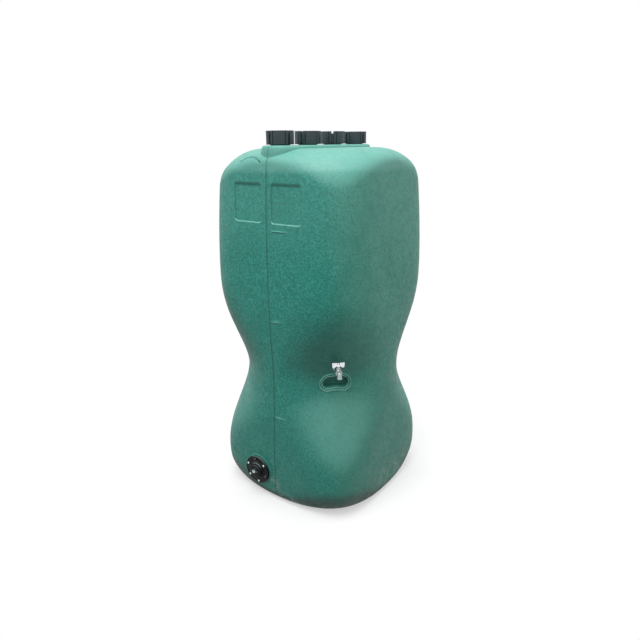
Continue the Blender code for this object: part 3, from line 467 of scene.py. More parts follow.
class NodeSheet:
    """One material's node tree, with short ways to add and join nodes."""

    def __init__(self, name: str) -> None:
        """Start a material with a Principled shader.

        Args:
            name: Name of the material.
        """
        self.material = bpy.data.materials.new(name)
        self.material.use_nodes = True
        self.tree = self.material.node_tree
        self.shader = self.tree.nodes["Principled BSDF"]
        self.place = self.add("ShaderNodeTexCoord").outputs["Object"]

    def add(self, kind: str, **settings: object) -> bpy.types.Node:
        """Add a node.

        Args:
            kind: The node's type.
            **settings: Its properties, by name.

        Returns:
            The node.
        """
        node = self.tree.nodes.new(kind)
        for name, value in settings.items():
            setattr(node, name, value)
        return node

    def join(self, value: object, socket: Socket) -> None:
        """Link an output to a socket, or set the socket to a plain value.

        Args:
            value: An output socket, a number, a vector or a colour.
            socket: The input to feed.
        """
        if isinstance(value, Socket):
            self.tree.links.new(value, socket)
        elif socket.type == "RGBA":
            socket.default_value = (*value, 1.0)
        else:
            socket.default_value = value

    def noise(self, scale: float, detail: float = 3.0, rough: float = 0.5,
              stretch: Place = (1, 1, 1), twist: float = 0.0) -> Socket:
        """Return a cloud noise over the object's own coordinates.

        Args:
            scale: Cells per metre.
            detail: Octaves.
            rough: Weight of the finer octaves.
            stretch: Scale along each axis.
            twist: Distortion.

        Returns:
            The noise value, 0 to 1.
        """
        mapping = self.add("ShaderNodeMapping")
        self.join(self.place, mapping.inputs["Vector"])
        mapping.inputs["Scale"].default_value = stretch
        node = self.add("ShaderNodeTexNoise")
        self.join(mapping.outputs["Vector"], node.inputs["Vector"])
        for name, value in (("Scale", scale), ("Detail", detail), ("Roughness", rough),
                            ("Distortion", twist)):
            node.inputs[name].default_value = value
        return node.outputs["Fac"]

    def span(self, value: object, low: float, high: float, start: float = 0.0,
             end: float = 1.0) -> Socket:
        """Map a value from one range to another, clipped.

        Args:
            value: The value to map.
            low: Where the result is start.
            high: Where the result is end.
            start: The first result.
            end: The last result.

        Returns:
            The mapped value.
        """
        node = self.add("ShaderNodeMapRange", interpolation_type="SMOOTHSTEP")
        for name, given in (("Value", value), ("From Min", low), ("From Max", high),
                            ("To Min", start), ("To Max", end)):
            self.join(given, node.inputs[name])
        return node.outputs["Result"]

    def reckon(self, operation: str, first: object, second: object = 0.0) -> Socket:
        """Work out one step of arithmetic.

        Args:
            operation: Name of the Math node's operation.
            first: The first value.
            second: The second value, where the operation has one.

        Returns:
            The result.
        """
        node = self.add("ShaderNodeMath", operation=operation)
        self.join(first, node.inputs[0])
        self.join(second, node.inputs[1])
        return node.outputs[0]

    def times(self, *values: object) -> Socket:
        """Return the product of some values."""
        return functools.reduce(functools.partial(self.reckon, "MULTIPLY"), values)

    def most(self, *values: object) -> Socket:
        """Return the largest of some values."""
        return functools.reduce(functools.partial(self.reckon, "MAXIMUM"), values)

    def blend(self, share: object, first: object, second: object) -> Socket:
        """Mix two colours.

        Args:
            share: How much of the second colour, 0 to 1.
            first: A colour or an output.
            second: A colour or an output.

        Returns:
            The mixed colour.
        """
        node = self.add("ShaderNodeMix", data_type="RGBA")
        self.join(share, node.inputs["Factor"])
        self.join(first, node.inputs[6])
        self.join(second, node.inputs[7])
        return node.outputs[2]

    def coat(self, under: object, over: Colour, *shares: object) -> Socket:
        """Lay a colour over another one, as far as the product of some shares says."""
        return self.blend(self.times(*shares), under, over)

    def band(self, value: object, low: float, high: float, soft: float) -> Socket:
        """Return 1 between two values and 0 outside them, with soft ends."""
        return self.times(self.span(value, low - soft, low), self.span(value, high + soft, high))

    def axis(self, letter: str, normal: bool = False) -> Socket:
        """Pick one coordinate of the surface.

        Args:
            letter: X, Y or Z.
            normal: Whether it is the normal's coordinate, and not the place's.

        Returns:
            The coordinate.
        """
        source = self.add("ShaderNodeNewGeometry").outputs["Normal"] if normal else self.place
        split = self.add("ShaderNodeSeparateXYZ")
        self.join(source, split.inputs[0])
        return split.outputs[letter]

    def near(self, place: Place, reach: Place) -> Socket:
        """Return how far a point lies from a place, as a share of a reach along each axis.

        Args:
            place: The middle, in metres.
            reach: Half sizes, in metres.

        Returns:
            The distance, 1 at the reach.
        """
        shift = self.add("ShaderNodeVectorMath", operation="SUBTRACT")
        self.join(self.place, shift.inputs[0])
        shift.inputs[1].default_value = place
        scale = self.add("ShaderNodeVectorMath", operation="DIVIDE")
        self.join(shift.outputs[0], scale.inputs[0])
        scale.inputs[1].default_value = reach
        length = self.add("ShaderNodeVectorMath", operation="LENGTH")
        self.join(scale.outputs[0], length.inputs[0])
        return length.outputs["Value"]

    def bump(self, height: object, strength: float, distance: float,
             below: object = None) -> Socket:
        """Return a normal roughened by a height.

        Args:
            height: The height, 0 to 1.
            strength: Strength of the bump.
            distance: Depth that a height of 1 stands for, in metres.
            below: A normal to add to.

        Returns:
            The normal.
        """
        node = self.add("ShaderNodeBump")
        self.join(height, node.inputs["Height"])
        node.inputs["Strength"].default_value = strength
        node.inputs["Distance"].default_value = distance
        if below is not None:
            self.join(below, node.inputs["Normal"])
        return node.outputs["Normal"]

    def dress(self, **inputs: object) -> Material:
        """Feed the shader's sockets.

        Args:
            **inputs: What each takes, by its name with underscores for spaces.

        Returns:
            The material.
        """
        for name, value in inputs.items():
            self.join(value, self.shader.inputs[name.replace("_", " ")])
        return self.material


@dataclass(frozen=True)
class MottledPolyethylene:
    """Moulded green polyethylene: mottled and finely pored, with sun-bleach and painted light
    above, painted shade below, underneath and in hollows, and dust at the foot.
    """

    deep: Colour = srgb(8, 110, 97)
    light: Colour = srgb(56, 156, 142)
    rich: Colour = srgb(10, 114, 96)
    faded: Colour = srgb(86, 151, 132)
    # A fleck colour that also serves as painted shade on panel edges, grooves and the grip's
    # recess.
    fleck_and_shade: Colour = srgb(16, 80, 70)
    # Partly sun-bleach, partly painted light on what looks up or lies high.
    bleached_and_lit: Colour = srgb(102, 164, 152)
    # Wear colour that also serves as a painted highlight.
    worn_and_highlit: Colour = srgb(132, 190, 174)
    shaded: Colour = srgb(22, 84, 74)
    # Painted shade at the foot.
    foot_shade: Colour = srgb(20, 46, 40)
    soil: Colour = srgb(104, 122, 108)
    scuff: Colour = srgb(158, 172, 158)
    shade_heights: Pair = (1.1, 0.15)
    warm_heights: Pair = (1.1, 1.36)
    crown_heights: Pair = (1.48, 1.518)
    foot_shade_heights: Pair = (0.2, 0.02)
    dust_heights: Pair = (0.21, 0.03)
    panel_heights: Pair = (1.305, 1.4535)
    panel_lefts: Pair = (-0.1735, 0.0275)
    panel_line: float = 0.003
    scuffed: tuple[tuple[Place, Place], ...] = (
        ((0.37, 0.04, 0.09), (0.08, 0.24, 0.09)),
        ((0.07, -0.35, 0.03), (0.13, 0.1, 0.045)),
        ((-0.01, -0.38, 0.08), (0.07, 0.08, 0.05)))

    def mottle(self, sheet: NodeSheet, side: Socket) -> Socket:
        """Mix the moulding's own green.

        Args:
            sheet: The material's node sheet.
            side: How far the surface looks to +X, where the sun faded it.

        Returns:
            The colour.
        """
        grain = sheet.span(sheet.noise(110.0, 4.0, 0.65), 0.3, 0.7)
        cloud = sheet.span(sheet.noise(5.0, 3.0), 0.35, 0.68)
        patches = sheet.span(sheet.noise(17.0, 4.0, 0.6, twist=0.5), 0.42, 0.68)
        fleck = sheet.span(sheet.noise(150.0, 3.0, 0.65), 0.53, 0.68)
        colour = sheet.blend(grain, self.deep, self.light)
        for over, share, amount in (
                (self.faded, side, 0.55), (self.deep, cloud, 0.22),
                (self.rich, patches, 0.3), (self.fleck_and_shade, fleck, 0.78)):
            colour = sheet.coat(colour, over, share, amount)
        return colour

    def bleach_light_and_shade(self, sheet: NodeSheet, colour: Socket, side: Socket) -> Socket:
        """Paint light and sun-bleach onto what looks up or lies high, and paint shade onto what
        looks down or lies low.

        Args:
            sheet: The material's node sheet.
            colour: The colour so far.
            side: How far the surface looks to +X.

        Returns:
            The colour.
        """
        height, tilt = sheet.axis("Z"), sheet.axis("Z", normal=True)
        # Painted shade: darker towards the bottom.
        low = sheet.span(height, *self.shade_heights)
        colour = sheet.coat(colour, self.shaded, low, sheet.span(side, 0.0, 1.0, 0.34, 0.4))
        # Painted light with sun-bleach: up-facing and high surfaces are lightened.
        bleach_and_light = sheet.most(
            sheet.span(tilt, 0.05, 0.33, 0.0, 0.46),
            sheet.span(height, *self.warm_heights, 0.0, 0.16),
            sheet.span(height, *self.crown_heights, 0.0, 0.78))
        streak = sheet.span(sheet.noise(9.0, 4.0, 0.6), 0.25, 0.75, 0.8, 1.0)
        colour = sheet.coat(colour, self.bleached_and_lit, bleach_and_light, streak)
        # Painted shade on what looks down, less of it on the +X side.
        under = sheet.span(tilt, 0.03, -0.34, 0.0, 0.8)
        return sheet.coat(colour, self.shaded, under, sheet.span(side, 0.0, 1.0, 1.0, 0.62))

    def panel_edge_shade(self, sheet: NodeSheet) -> Socket:
        """Find the upper and left edge of both front panels, where shade is painted.

        Args:
            sheet: The material's node sheet.

        Returns:
            How much an edge a point is, 0 to 1.
        """
        across, height = sheet.axis("X"), sheet.axis("Z")
        front = sheet.span(sheet.axis("Y"), -0.3, -0.33)
        low, top = self.panel_heights
        sides = sheet.times(sheet.band(height, low, top, 0.003), front)
        both = sheet.band(sheet.reckon("ABSOLUTE", across), 0.031, 0.17, 0.004)
        lines = [sheet.times(sheet.band(height, top - 0.004, top, 0.002), front, both)]
        for left in self.panel_lefts:
            edge = sheet.band(across, left, left + self.panel_line, 0.0016)
            lines.append(sheet.times(edge, sides))
        return sheet.most(*lines)

    def edge_shade_and_highlight(self, sheet: NodeSheet, colour: Socket) -> Socket:
        """Paint shade along the panels' edges, and pale the crests and ledges that the skin's mesh
        marks, as wear and painted highlight.

        Args:
            sheet: The material's node sheet.
            colour: The colour so far.

        Returns:
            The colour.
        """
        # Painted shade along the panels' upper and left edges.
        colour = sheet.coat(colour, self.fleck_and_shade, self.panel_edge_shade(sheet), 0.42)
        wear_and_highlight = sheet.add("ShaderNodeAttribute", attribute_name="edge_wear_and_highlight").outputs["Fac"]
        patchy = sheet.span(sheet.noise(70.0, 3.0), 0.25, 0.6, 0.65, 1.0)
        # Crests wear paler and take a painted highlight; the panels' lower ledges take a painted
        # highlight.
        return sheet.coat(colour, self.worn_and_highlit, wear_and_highlight, patchy, 0.62)

    def grounded(self, sheet: NodeSheet, colour: Socket) -> Socket:
        """Add painted shade at the foot where the wall turns under, then what the ground does:
        splashed dust and chalky scuffs.

        Args:
            sheet: The material's node sheet.
            colour: The colour so far.

        Returns:
            The colour.
        """
        height, tilt = sheet.axis("Z"), sheet.axis("Z", normal=True)
        speckle = sheet.span(sheet.noise(150.0, 6.0, 0.72), 0.47, 0.62)
        smear = sheet.span(sheet.noise(16.0, 4.0, 0.65), 0.4, 0.66)
        spots = sheet.most(*(sheet.span(sheet.near(*spot), 1.0, 0.2) for spot in self.scuffed))
        # Painted shade low down, where the wall faces the floor.
        colour = sheet.coat(colour, self.foot_shade, sheet.span(height, *self.foot_shade_heights),
                            sheet.span(tilt, 0.05, -0.16), 0.95)
        splashed = sheet.span(height, *self.dust_heights)
        colour = sheet.coat(colour, self.soil, splashed, smear, speckle, 0.3)
        return sheet.coat(colour, self.scuff, spots, speckle, sheet.span(smear, 0.0, 0.6), 0.8)

    def grooved(self, sheet: NodeSheet, colour: Socket) -> Socket:
        """Darken the parting line, and paint shade into the grooves and the grip's recess that the
        skin's mesh marks.

        Args:
            sheet: The material's node sheet.
            colour: The colour so far.

        Returns:
            The colour.
        """
        away = sheet.reckon("ABSOLUTE", sheet.reckon("SUBTRACT", sheet.axis("X"), 0.001))
        steep = sheet.reckon("ABSOLUTE", sheet.axis("Z", normal=True))
        colour = sheet.coat(colour, self.fleck_and_shade, sheet.span(away, 0.0032, 0.001),
                            sheet.span(steep, 0.75, 0.5), 0.46)
        # Painted shade in the grooves and the grip's recess.
        hollow_shade = sheet.add("ShaderNodeAttribute", attribute_name="hollow_shade").outputs["Fac"]
        return sheet.coat(colour, self.fleck_and_shade, hollow_shade, 0.52)

    def make(self, name: str) -> Material:
        """Make the material.

        Args:
            name: Name of the material.

        Returns:
            The finished material.
        """
        sheet = NodeSheet(name)
        side = sheet.span(sheet.axis("X", normal=True), 0.25, 0.95)
        colour = self.bleach_light_and_shade(sheet, self.mottle(sheet, side), side)
        colour = self.grooved(sheet, self.grounded(sheet, self.edge_shade_and_highlight(sheet, colour)))
        rough = sheet.span(sheet.noise(45.0, 4.0), 0.3, 0.7, 0.44, 0.6)
        wave = sheet.bump(sheet.noise(28.0, 2.0), 0.22, 0.003)
        peel = sheet.bump(sheet.noise(420.0, 3.0, 0.6), 0.16, 0.0009, wave)
        return sheet.dress(Base_Color=colour, Roughness=rough, Normal=peel, Specular_IOR_Level=0.42)


@dataclass(frozen=True)
class MouldedBlack:
    """Blue-black moulded plastic with dust on its upper faces, and paler edges that are partly wear
    and partly painted highlight.
    """

    base: Colour = srgb(30, 42, 48)
    dust: Colour = srgb(84, 103, 110)

    def make(self, name: str) -> Material:
        """Make the material.

        Args:
            name: Name of the material.

        Returns:
            The finished material.
        """
        sheet = NodeSheet(name)
        grain = sheet.span(sheet.noise(320.0, 3.0), 0.35, 0.7)
        upper = sheet.span(sheet.axis("Z", normal=True), 0.3, 1.0)
        settled = sheet.span(sheet.noise(60.0, 4.0, 0.7), 0.3, 0.75, 0.15, 0.6)
        # Paler convex edges: partly wear, partly painted highlight.
        corner = sheet.span(sheet.add("ShaderNodeNewGeometry").outputs["Pointiness"], 0.53, 0.62)
        colour = self.base
        for shares in ((grain, 0.25), (upper, settled), (corner, 0.4)):
            colour = sheet.coat(colour, self.dust, *shares)
        return sheet.dress(
            Base_Color=colour, Roughness=sheet.span(sheet.noise(150.0, 3.0), 0.3, 0.7, 0.36, 0.56),
            Normal=sheet.bump(sheet.noise(900.0, 2.0), 0.12, 0.0004))


@dataclass(frozen=True)
class GlossyBlack:
    """Hard glossy black plastic, nearly clean, with fine scratches and a painted highlight spot on
    the plug.
    """

    base: Colour = srgb(9, 10, 11)
    haze: Colour = srgb(28, 32, 34)
    dust: Colour = srgb(120, 136, 134)
    # A painted highlight: a near-white spot on the plug's middle.
    mark: Colour = srgb(236, 240, 240)
    glint_place: Place = (-0.0996, -0.4246, 0.1307)
    glint_reach: Place = (0.009, 0.006, 0.009)

    def make(self, name: str) -> Material:
        """Make the material.

        Args:
            name: Name of the material.

        Returns:
            The finished material.
        """
        sheet = NodeSheet(name)
        cloud = sheet.span(sheet.noise(70.0, 5.0, 0.7), 0.45, 0.75)
        scratch = sheet.span(sheet.noise(260.0, 4.0, 0.7, (1.0, 1.0, 0.2), 0.4), 0.62, 0.74)
        upper = sheet.span(sheet.axis("Z", normal=True), 0.35, 0.95)
        # Where the painted highlight spot lies.
        mark = sheet.span(sheet.near(self.glint_place, self.glint_reach), 1.0, 0.72)
        colour = sheet.coat(self.base, self.haze, cloud, 0.12)
        colour = sheet.coat(colour, self.haze, scratch, 0.3)
        colour = sheet.coat(colour, self.dust, upper, 0.55)
        colour = sheet.coat(colour, self.mark, mark, sheet.span(cloud, 0.0, 1.0, 0.75, 1.0))
        return sheet.dress(
            Base_Color=colour, Roughness=sheet.span(sheet.noise(120.0, 3.0), 0.3, 0.7, 0.16, 0.3),
            Specular_IOR_Level=0.11, Normal=sheet.bump(sheet.noise(700.0, 2.0), 0.06, 0.0003))


@dataclass(frozen=True)
class BrightMetal:
    """Plated or plain metal with a faint brushing, fingerprints and small pits."""

    base: Colour
    shine: float
    smudge: float

    def make(self, name: str) -> Material:
        """Make the material.

        Args:
            name: Name of the material.

        Returns:
            The finished material.
        """
        sheet = NodeSheet(name)
        cloud = sheet.span(sheet.noise(90.0, 4.0, 0.6), 0.3, 0.75)
        fine = sheet.noise(900.0, 3.0, 0.6)
        dull = tuple(channel * 0.78 for channel in self.base)
        rough = sheet.reckon("ADD", sheet.span(cloud, 0.0, 1.0, self.shine, self.smudge),
                             sheet.span(fine, 0.4, 0.7, 0.0, 0.06))
        return sheet.dress(Base_Color=sheet.coat(self.base, dull, cloud, 0.5), Metallic=1.0,
                           Roughness=rough, Normal=sheet.bump(fine, 0.05, 0.0002))


@dataclass(frozen=True)
class PlainSolid:
    """Matt rubber or nylon, finely pored."""

    base: Colour
    roughness: float
    spread: float = 0.08

    def make(self, name: str) -> Material:
        """Make the material.

        Args:
            name: Name of the material.

        Returns:
            The finished material.
        """
        sheet = NodeSheet(name)
        pores = sheet.noise(500.0, 4.0, 0.6)
        dull = tuple(min(channel * 1.6 + 0.01, 1.0) for channel in self.base)
        colour = sheet.blend(sheet.span(pores, 0.35, 0.75, 0.0, 0.5), self.base, dull)
        smooth, rough = self.roughness - self.spread, self.roughness + self.spread
        return sheet.dress(
            Base_Color=colour, Roughness=sheet.span(pores, 0.3, 0.7, smooth, rough),
            Normal=sheet.bump(pores, 0.15, 0.0004))


def once(kind: MottledPolyethylene | MouldedBlack | GlossyBlack | BrightMetal | PlainSolid,
         name: str) -> Material:
    """Return a dataclass field whose material is made once, when the finishes are."""
    return field(default_factory=lambda: kind.make(name))


@dataclass
class Finishes:
    """Every finish of the tank, made once."""

    green: Material = once(MottledPolyethylene(), "green_polyethylene")
    black: Material = once(MouldedBlack(), "blue_black_plastic")
    gloss: Material = once(GlossyBlack(), "glossy_black_plastic")
    chrome: Material = once(BrightMetal(srgb(232, 236, 238), 0.08, 0.2), "tap_chrome")
    nickel: Material = once(BrightMetal(srgb(168, 178, 176), 0.26, 0.42), "tap_nickel")
    tarnish: Material = once(BrightMetal(srgb(92, 92, 88), 0.42, 0.6), "tarnished_zinc")
    zinc: Material = once(BrightMetal(srgb(205, 210, 214), 0.18, 0.36), "bright_zinc")
    brass: Material = once(BrightMetal(srgb(200, 162, 90), 0.22, 0.4), "machined_brass")
    rubber: Material = once(PlainSolid(srgb(26, 27, 28), 0.82), "sealing_rubber")
    nylon: Material = once(PlainSolid(srgb(222, 220, 208), 0.5), "white_nylon")


@dataclass
class TankForm:
    """The moulded form, as level rings whose radius follows the angle and the height."""

    wall: float = 0.005
    crown: float = 1.588
    chest: float = 1.06
    waist: float = 0.6
    hip: float = 0.16
    half_widths: tuple[float, float, float, float] = (0.362, 0.385, 0.371, 0.386)
    half_diagonals: tuple[float, float, float, float] = (0.43, 0.468, 0.359, 0.476)
    foot_diagonal: float = 0.395
    foot_edge: float = 0.04
    foot_taper: float = 2.9
    hip_fullness: float = 1.18
    chest_fullness: float = 1.33
    crown_taper: float = 1.7
    roof_flat: float = 0.22
    roof_reach: float = 0.45
    roof_drop: float = 0.12
    roof_power: float = 2.6
    shoulder: float = 0.03
    foot_steps: int = 12
    roof_steps: int = 48

    def station(self, height: float) -> Pair:
        """Find the wall's size at a height.

        Args:
            height: The height.

        Returns:
            The half width and the half diagonal.
        """
        crown, chest, waist, hip = zip(self.half_widths, self.half_diagonals)
        if height < self.hip:
            first, last = hip, (hip[0], self.foot_diagonal)
            share = max(1.0 - height / self.hip, 0.0) ** self.foot_taper
        elif height < self.waist:
            first, last = hip, waist
            share = ease(((height - self.hip) / (self.waist - self.hip)) ** self.hip_fullness)
        elif height < self.chest:
            first, last = chest, waist
            share = ease(((self.chest - height) / (self.chest - self.waist)) ** self.chest_fullness)
        else:
            first, last = chest, crown
            share = ((height - self.chest) / (self.crown - self.chest)) ** self.crown_taper
        return tuple(a + (b - a) * float(share) for a, b in zip(first, last))

    def section(self, angle: np.ndarray, height: float) -> np.ndarray:
        """Find the wall's distance from the axis.

        Args:
            angle: The angles, in radians.
            height: Their height.

        Returns:
            One radius for each angle.
        """
        width, diagonal = self.station(height)
        ratio = diagonal / width
        power = 1.0 / (0.5 - math.log2(ratio)) if ratio > 1.0 else 2.0
        scoop = max(1.0 - ratio, 0.0)
        across, along = np.abs(np.cos(angle)), np.abs(np.sin(angle))
        radius = width / (across ** power + along ** power) ** (1.0 / power)
        return radius * (1.0 - scoop * np.sin(2.0 * angle) ** 2)

    def roof_height(self, radius: float) -> float:
        """Return the roof's height at a distance from the axis."""
        out = max(radius - self.roof_flat, 0.0) / (self.roof_reach - self.roof_flat)
        return self.crown - self.roof_drop * out ** self.roof_power

    def roof_radius(self, height: float) -> float:
        """Return the distance from the axis at which the roof has a height."""
        fall = max(self.crown - height, 0.0) / self.roof_drop
        return self.roof_flat + (self.roof_reach - self.roof_flat) * fall ** (1.0 / self.roof_power)

    def ring(self, angle: np.ndarray, height: float, inset: float = 0.0) -> np.ndarray:
        """Find the surface's distance from the axis, wall and roof blended together.

        Args:
            angle: The angles, in radians.
            height: The ring's height.
            inset: How far the surface lies inside the outside face.

        Returns:
            One radius for each angle.
        """
        wall = self.section(angle, height)
        roof = self.roof_radius(height + inset) + inset
        near = np.maximum(self.shoulder - np.abs(wall - roof), 0.0) / self.shoulder
        return np.minimum(wall, roof) - near * near * self.shoulder / 4.0 - inset

    def levels(self, inset: float, heights: Sequence[float]) -> list[Pair]:
        """Return the (height, tuck) of every ring, from the foot's flat to the crown.

        Args:
            inset: How far the surface lies inside the outside face.
            heights: Heights of the wall's rings.

        Returns:
            The levels in rising order. The tuck draws the rounded foot edge in.
        """
        edge = self.foot_edge - inset
        widest = self.half_diagonals[1]
        found = []
        for i in range(self.foot_steps):
            lean = math.pi / 2 * i / self.foot_steps
            found.append((inset + edge * (1.0 - math.cos(lean)), edge * (1.0 - math.sin(lean))))
        start = self.roof_height(widest)
        found += [(z, 0.0) for z in heights if self.foot_edge <= z < start - inset - 0.002]
        for i in range(self.roof_steps + 1):
            radius = widest + (self.roof_flat - widest) * i / self.roof_steps
            found.append((self.roof_height(radius) - inset, 0.0))
        return found

    def points(self, angles: np.ndarray, levels: Sequence[Pair],
               inset: float = 0.0) -> np.ndarray:
        """Lay out the surface.

        Args:
            angles: The angles, in radians.
            levels: The (height, tuck) of every ring.
            inset: How far the surface lies inside the outside face.

        Returns:
            A grid of points, one row for each level.
        """
        rows = []
        for height, tuck in levels:
            radius = self.ring(angles, height, inset) - tuck
            x, y = radius * np.cos(angles), radius * np.sin(angles)
            rows.append(np.stack((x, y, np.full_like(angles, height)), axis=1))
        return np.array(rows)

    def top_at(self, x: float, y: float) -> float:
        """Find the outside surface over a point of the plan.

        Args:
            x: The point's place along X.
            y: The point's place along Y.

        Returns:
            The surface's height there.
        """
        angle, reach = np.array([math.atan2(y, x)]), math.hypot(x, y)
        low, high = self.chest, self.crown
        for _ in range(40):
            middle = (low + high) / 2.0
            if self.ring(angle, middle)[0] > reach:
                low = middle
            else:
                high = middle
        return low


@dataclass
class CapRow:
    """Where the four caps and their necks stand."""

    spacing: float = 0.1826
    facings: tuple[float, ...] = (-54.0, -36.0, -9.0, -54.0)
    strip_top: float = 1.6

    def places(self) -> list[float]:
        """Return each cap's place along Y."""
        count = len(self.facings)
        return [(i - (count - 1) / 2) * self.spacing for i in range(count)]


@dataclass
class Openings:
    """Where the tap and the drain meet the wall."""

    tap_face: float = 0.382615
    tap_height: float = 0.7
    tap_hole: float = 0.0108
    drain: Place = (-0.0996, -0.388, 0.1307)
    drain_hole: float = 0.03
    bolt_circle: float = 0.056
    bolt_count: int = 6
    first_bolt: float = 40.0
    bolt_hole: float = 0.0036

    def corner(self) -> Matrix:
        """Return the matrix that lays a piece on the tap's axis."""
        out = self.tap_face * HALF_ROOT
        return outward(Vector((out, -out, self.tap_height)), math.radians(45.0))

    def face(self) -> Matrix:
        """Return the matrix that lays a piece on the drain's axis."""
        return outward(Vector(self.drain), 0.0)

    def bolts(self) -> list[Matrix]:
        """Return each drain screw's place on the flange."""
        turns = [math.radians(self.first_bolt + 360.0 / self.bolt_count * i)
                 for i in range(self.bolt_count)]
        return [Matrix.Translation((*polar(self.bolt_circle, turn), 0.0)) for turn in turns]

    def holes(self, low: float, high: float, sides: int, place: Matrix = Matrix()) -> list[Draft]:
        """Make a cutter for each drain screw's hole.

        Args:
            low: Where it begins.
            high: Where it ends.
            sides: How many facets go round.
            place: Where the flange lies.

        Returns:
            The cutters.
        """
        return [moved(rod(self.bolt_hole, low, high, sides), place @ bolt)
                for bolt in self.bolts()]


@dataclass
class TankBody:
    """The green moulding: skin, strip, necks, panels, seam, level marks, grip, boss and pad."""

    finishes: Finishes
    form: TankForm = field(default_factory=TankForm)
    row: CapRow = field(default_factory=CapRow)
    openings: Openings = field(default_factory=Openings)
    strip_half_width: float = 0.073
    strip_end_spare: float = 0.006
    strip_spread: float = 0.001
    strip_round: float = 0.013
    neck_radius: float = 0.036
    neck_bore: float = 0.031
    neck_height: float = 0.038
    panel_top: float = 1.4541
    panel_size: Pair = (0.147, 0.1524)
    panel_from_seam: float = 0.0271
    panel_corner: float = 0.012
    panel_depth: float = 0.0042
    panel_slope: float = 0.006
    seam_ridge: Pair = (0.0, 0.0012)
    seam_groove: Pair = (0.0036, 0.0016)
    seam_width: float = 0.0016
    marks: tuple[Place, ...] = (
        (1.27, 0.03, 0.095), (0.885, 0.015, 0.06), (0.43, 0.01, 0.051))
    mark_height: float = 0.0024
    arch_middle: Pair = (-0.093, 1.462)
    arch_radius: float = 0.095
    arch_turns: Pair = (47.0, 133.0)
    arch_depth: float = 0.0038
    trim_half_width: float = 0.0026
    grip_height: float = 0.621
    grip_size: Pair = (0.116, 0.06)
    grip_arch: float = 0.008
    grip_dent: float = 0.0022
    grip_back: float = 0.323
    grip_ridges: tuple[Pair, ...] = ((0.0008, 0.0046), (0.0105, 0.0044))
    grip_dent_width: float = 0.026
    grip_crest: float = 0.0028
    grip_slope: float = 0.005
    tap_clearing: float = 0.023
    front_distance: float = 0.372
    corner_distance: float = 0.36

    @property
    def panel_low(self) -> float:
        """Return the height of the panels' lower edge."""
        return self.panel_top - self.panel_size[1]

    def packed(self, low: float, high: float, clear: float) -> list[float]:
        """Pack steps at a panel's two edges, where its slopes are.

        Args:
            low: Place of the first edge.
            high: Place of the second edge.
            clear: How far inside the first edge the wider steps begin.

        Returns:
            The steps' places.
        """
        found = run(low + clear, low + 0.014, 0.002) + run(high - 0.014, high - 0.004, 0.002)
        for edge in (low, high):
            found += run(edge - 0.004, edge + 0.0041, 0.001)
        return found

    def angles(self) -> np.ndarray:
        """Choose the grid's angles, packed closer where the front face and the grip need it.

        Returns:
            The angles, in radians.
        """
        start = self.panel_from_seam
        seam, arch = run(0.0, 0.0056, 0.0008), run(-0.17, -0.04, 0.004)
        grip = run(-0.08, 0.0801, 0.002)
        right = self.packed(start, start + self.panel_size[0], 0.005) + seam
        found = run(0.0, 360.0, 3.0)
        for middle, away, places in (
                (-90.0, self.front_distance, right + [-x for x in right] + arch),
                (90.0, self.front_distance, seam + [-x for x in seam]),
                (-45.0, self.corner_distance, grip)):
            found += [middle + math.degrees(math.atan2(place, away)) for place in places]
        return np.radians(np.array(thinned((angle % 360.0 for angle in found), 0.085)))

    def heights(self) -> list[float]:
        """Choose the rings' heights, packed closer at the panels, the marks and the grip.

        Returns:
            The heights, in rising order.
        """
        found = run(0.04, 1.45, 0.0125) + run(0.57, 0.672, 0.002)
        found += self.packed(self.panel_low, self.panel_top, 0.004)
        for mark, _, _ in self.marks:
            found += run(mark - 0.005, mark + 0.0051, 0.001)
        return thinned(found, 0.0006)

    def panel_field(self, points: np.ndarray) -> np.ndarray:
        """Find the two label panels.

        Args:
            points: The grid of points.

        Returns:
            How deep each point lies in a panel, 0 to 1.
        """
        x, y, z = np.moveaxis(points, -1, 0)
        width, height, corner = *self.panel_size, self.panel_corner
        depth = np.zeros_like(x)
        for side in (1.0, -1.0):
            dx = np.abs(x - side * (self.panel_from_seam + width / 2)) - width / 2 + corner
            dz = np.abs(z - self.panel_top + height / 2) - height / 2 + corner
            outside = np.hypot(np.maximum(dx, 0.0), np.maximum(dz, 0.0))
            away = outside + np.minimum(np.maximum(dx, dz), 0.0)
            depth = np.maximum(depth, ease(0.5 - (away - corner) / self.panel_slope))
        return depth * (y < 0.0)

    def relief_field(self, points: np.ndarray) -> np.ndarray:
        """Find the raised seam and level marks, and the grooves beside the seam and over a panel.

        Args:
            points: The grid of points.

        Returns:
            Each point's height over the skin, which is below zero in a groove.
        """
        x, y, z = np.moveaxis(points, -1, 0)
        (ridge_at, ridge), (groove_at, groove) = self.seam_ridge, self.seam_groove
        relief = (ridge * np.exp(-((x - ridge_at) / self.seam_width) ** 2)
                  - groove * np.exp(-((x - groove_at) / self.seam_width) ** 2)) * (z > 0.02)
        front = y < -0.2
        for height, low, high in self.marks:
            bow = height + 0.0025 * np.sin(np.clip((x - low) / (high - low), 0.0, 1.0) * math.pi)
            along = front * ease((x - low) / 0.004) * ease((high - x) / 0.004)
            away = np.abs(z - bow)
            relief = relief + along * self.mark_height * ease(1.4 - away / self.trim_half_width)
        dx, dz = x - self.arch_middle[0], z - self.arch_middle[1]
        turn = np.degrees(np.arctan2(dz, dx))
        first, last = self.arch_turns
        along = front * ease((turn - first) / 5.0) * ease((last - turn) / 5.0)
        away = np.abs(np.hypot(dx, dz) - self.arch_radius)
        return relief - along * self.arch_depth * ease(1.4 - away / self.trim_half_width)

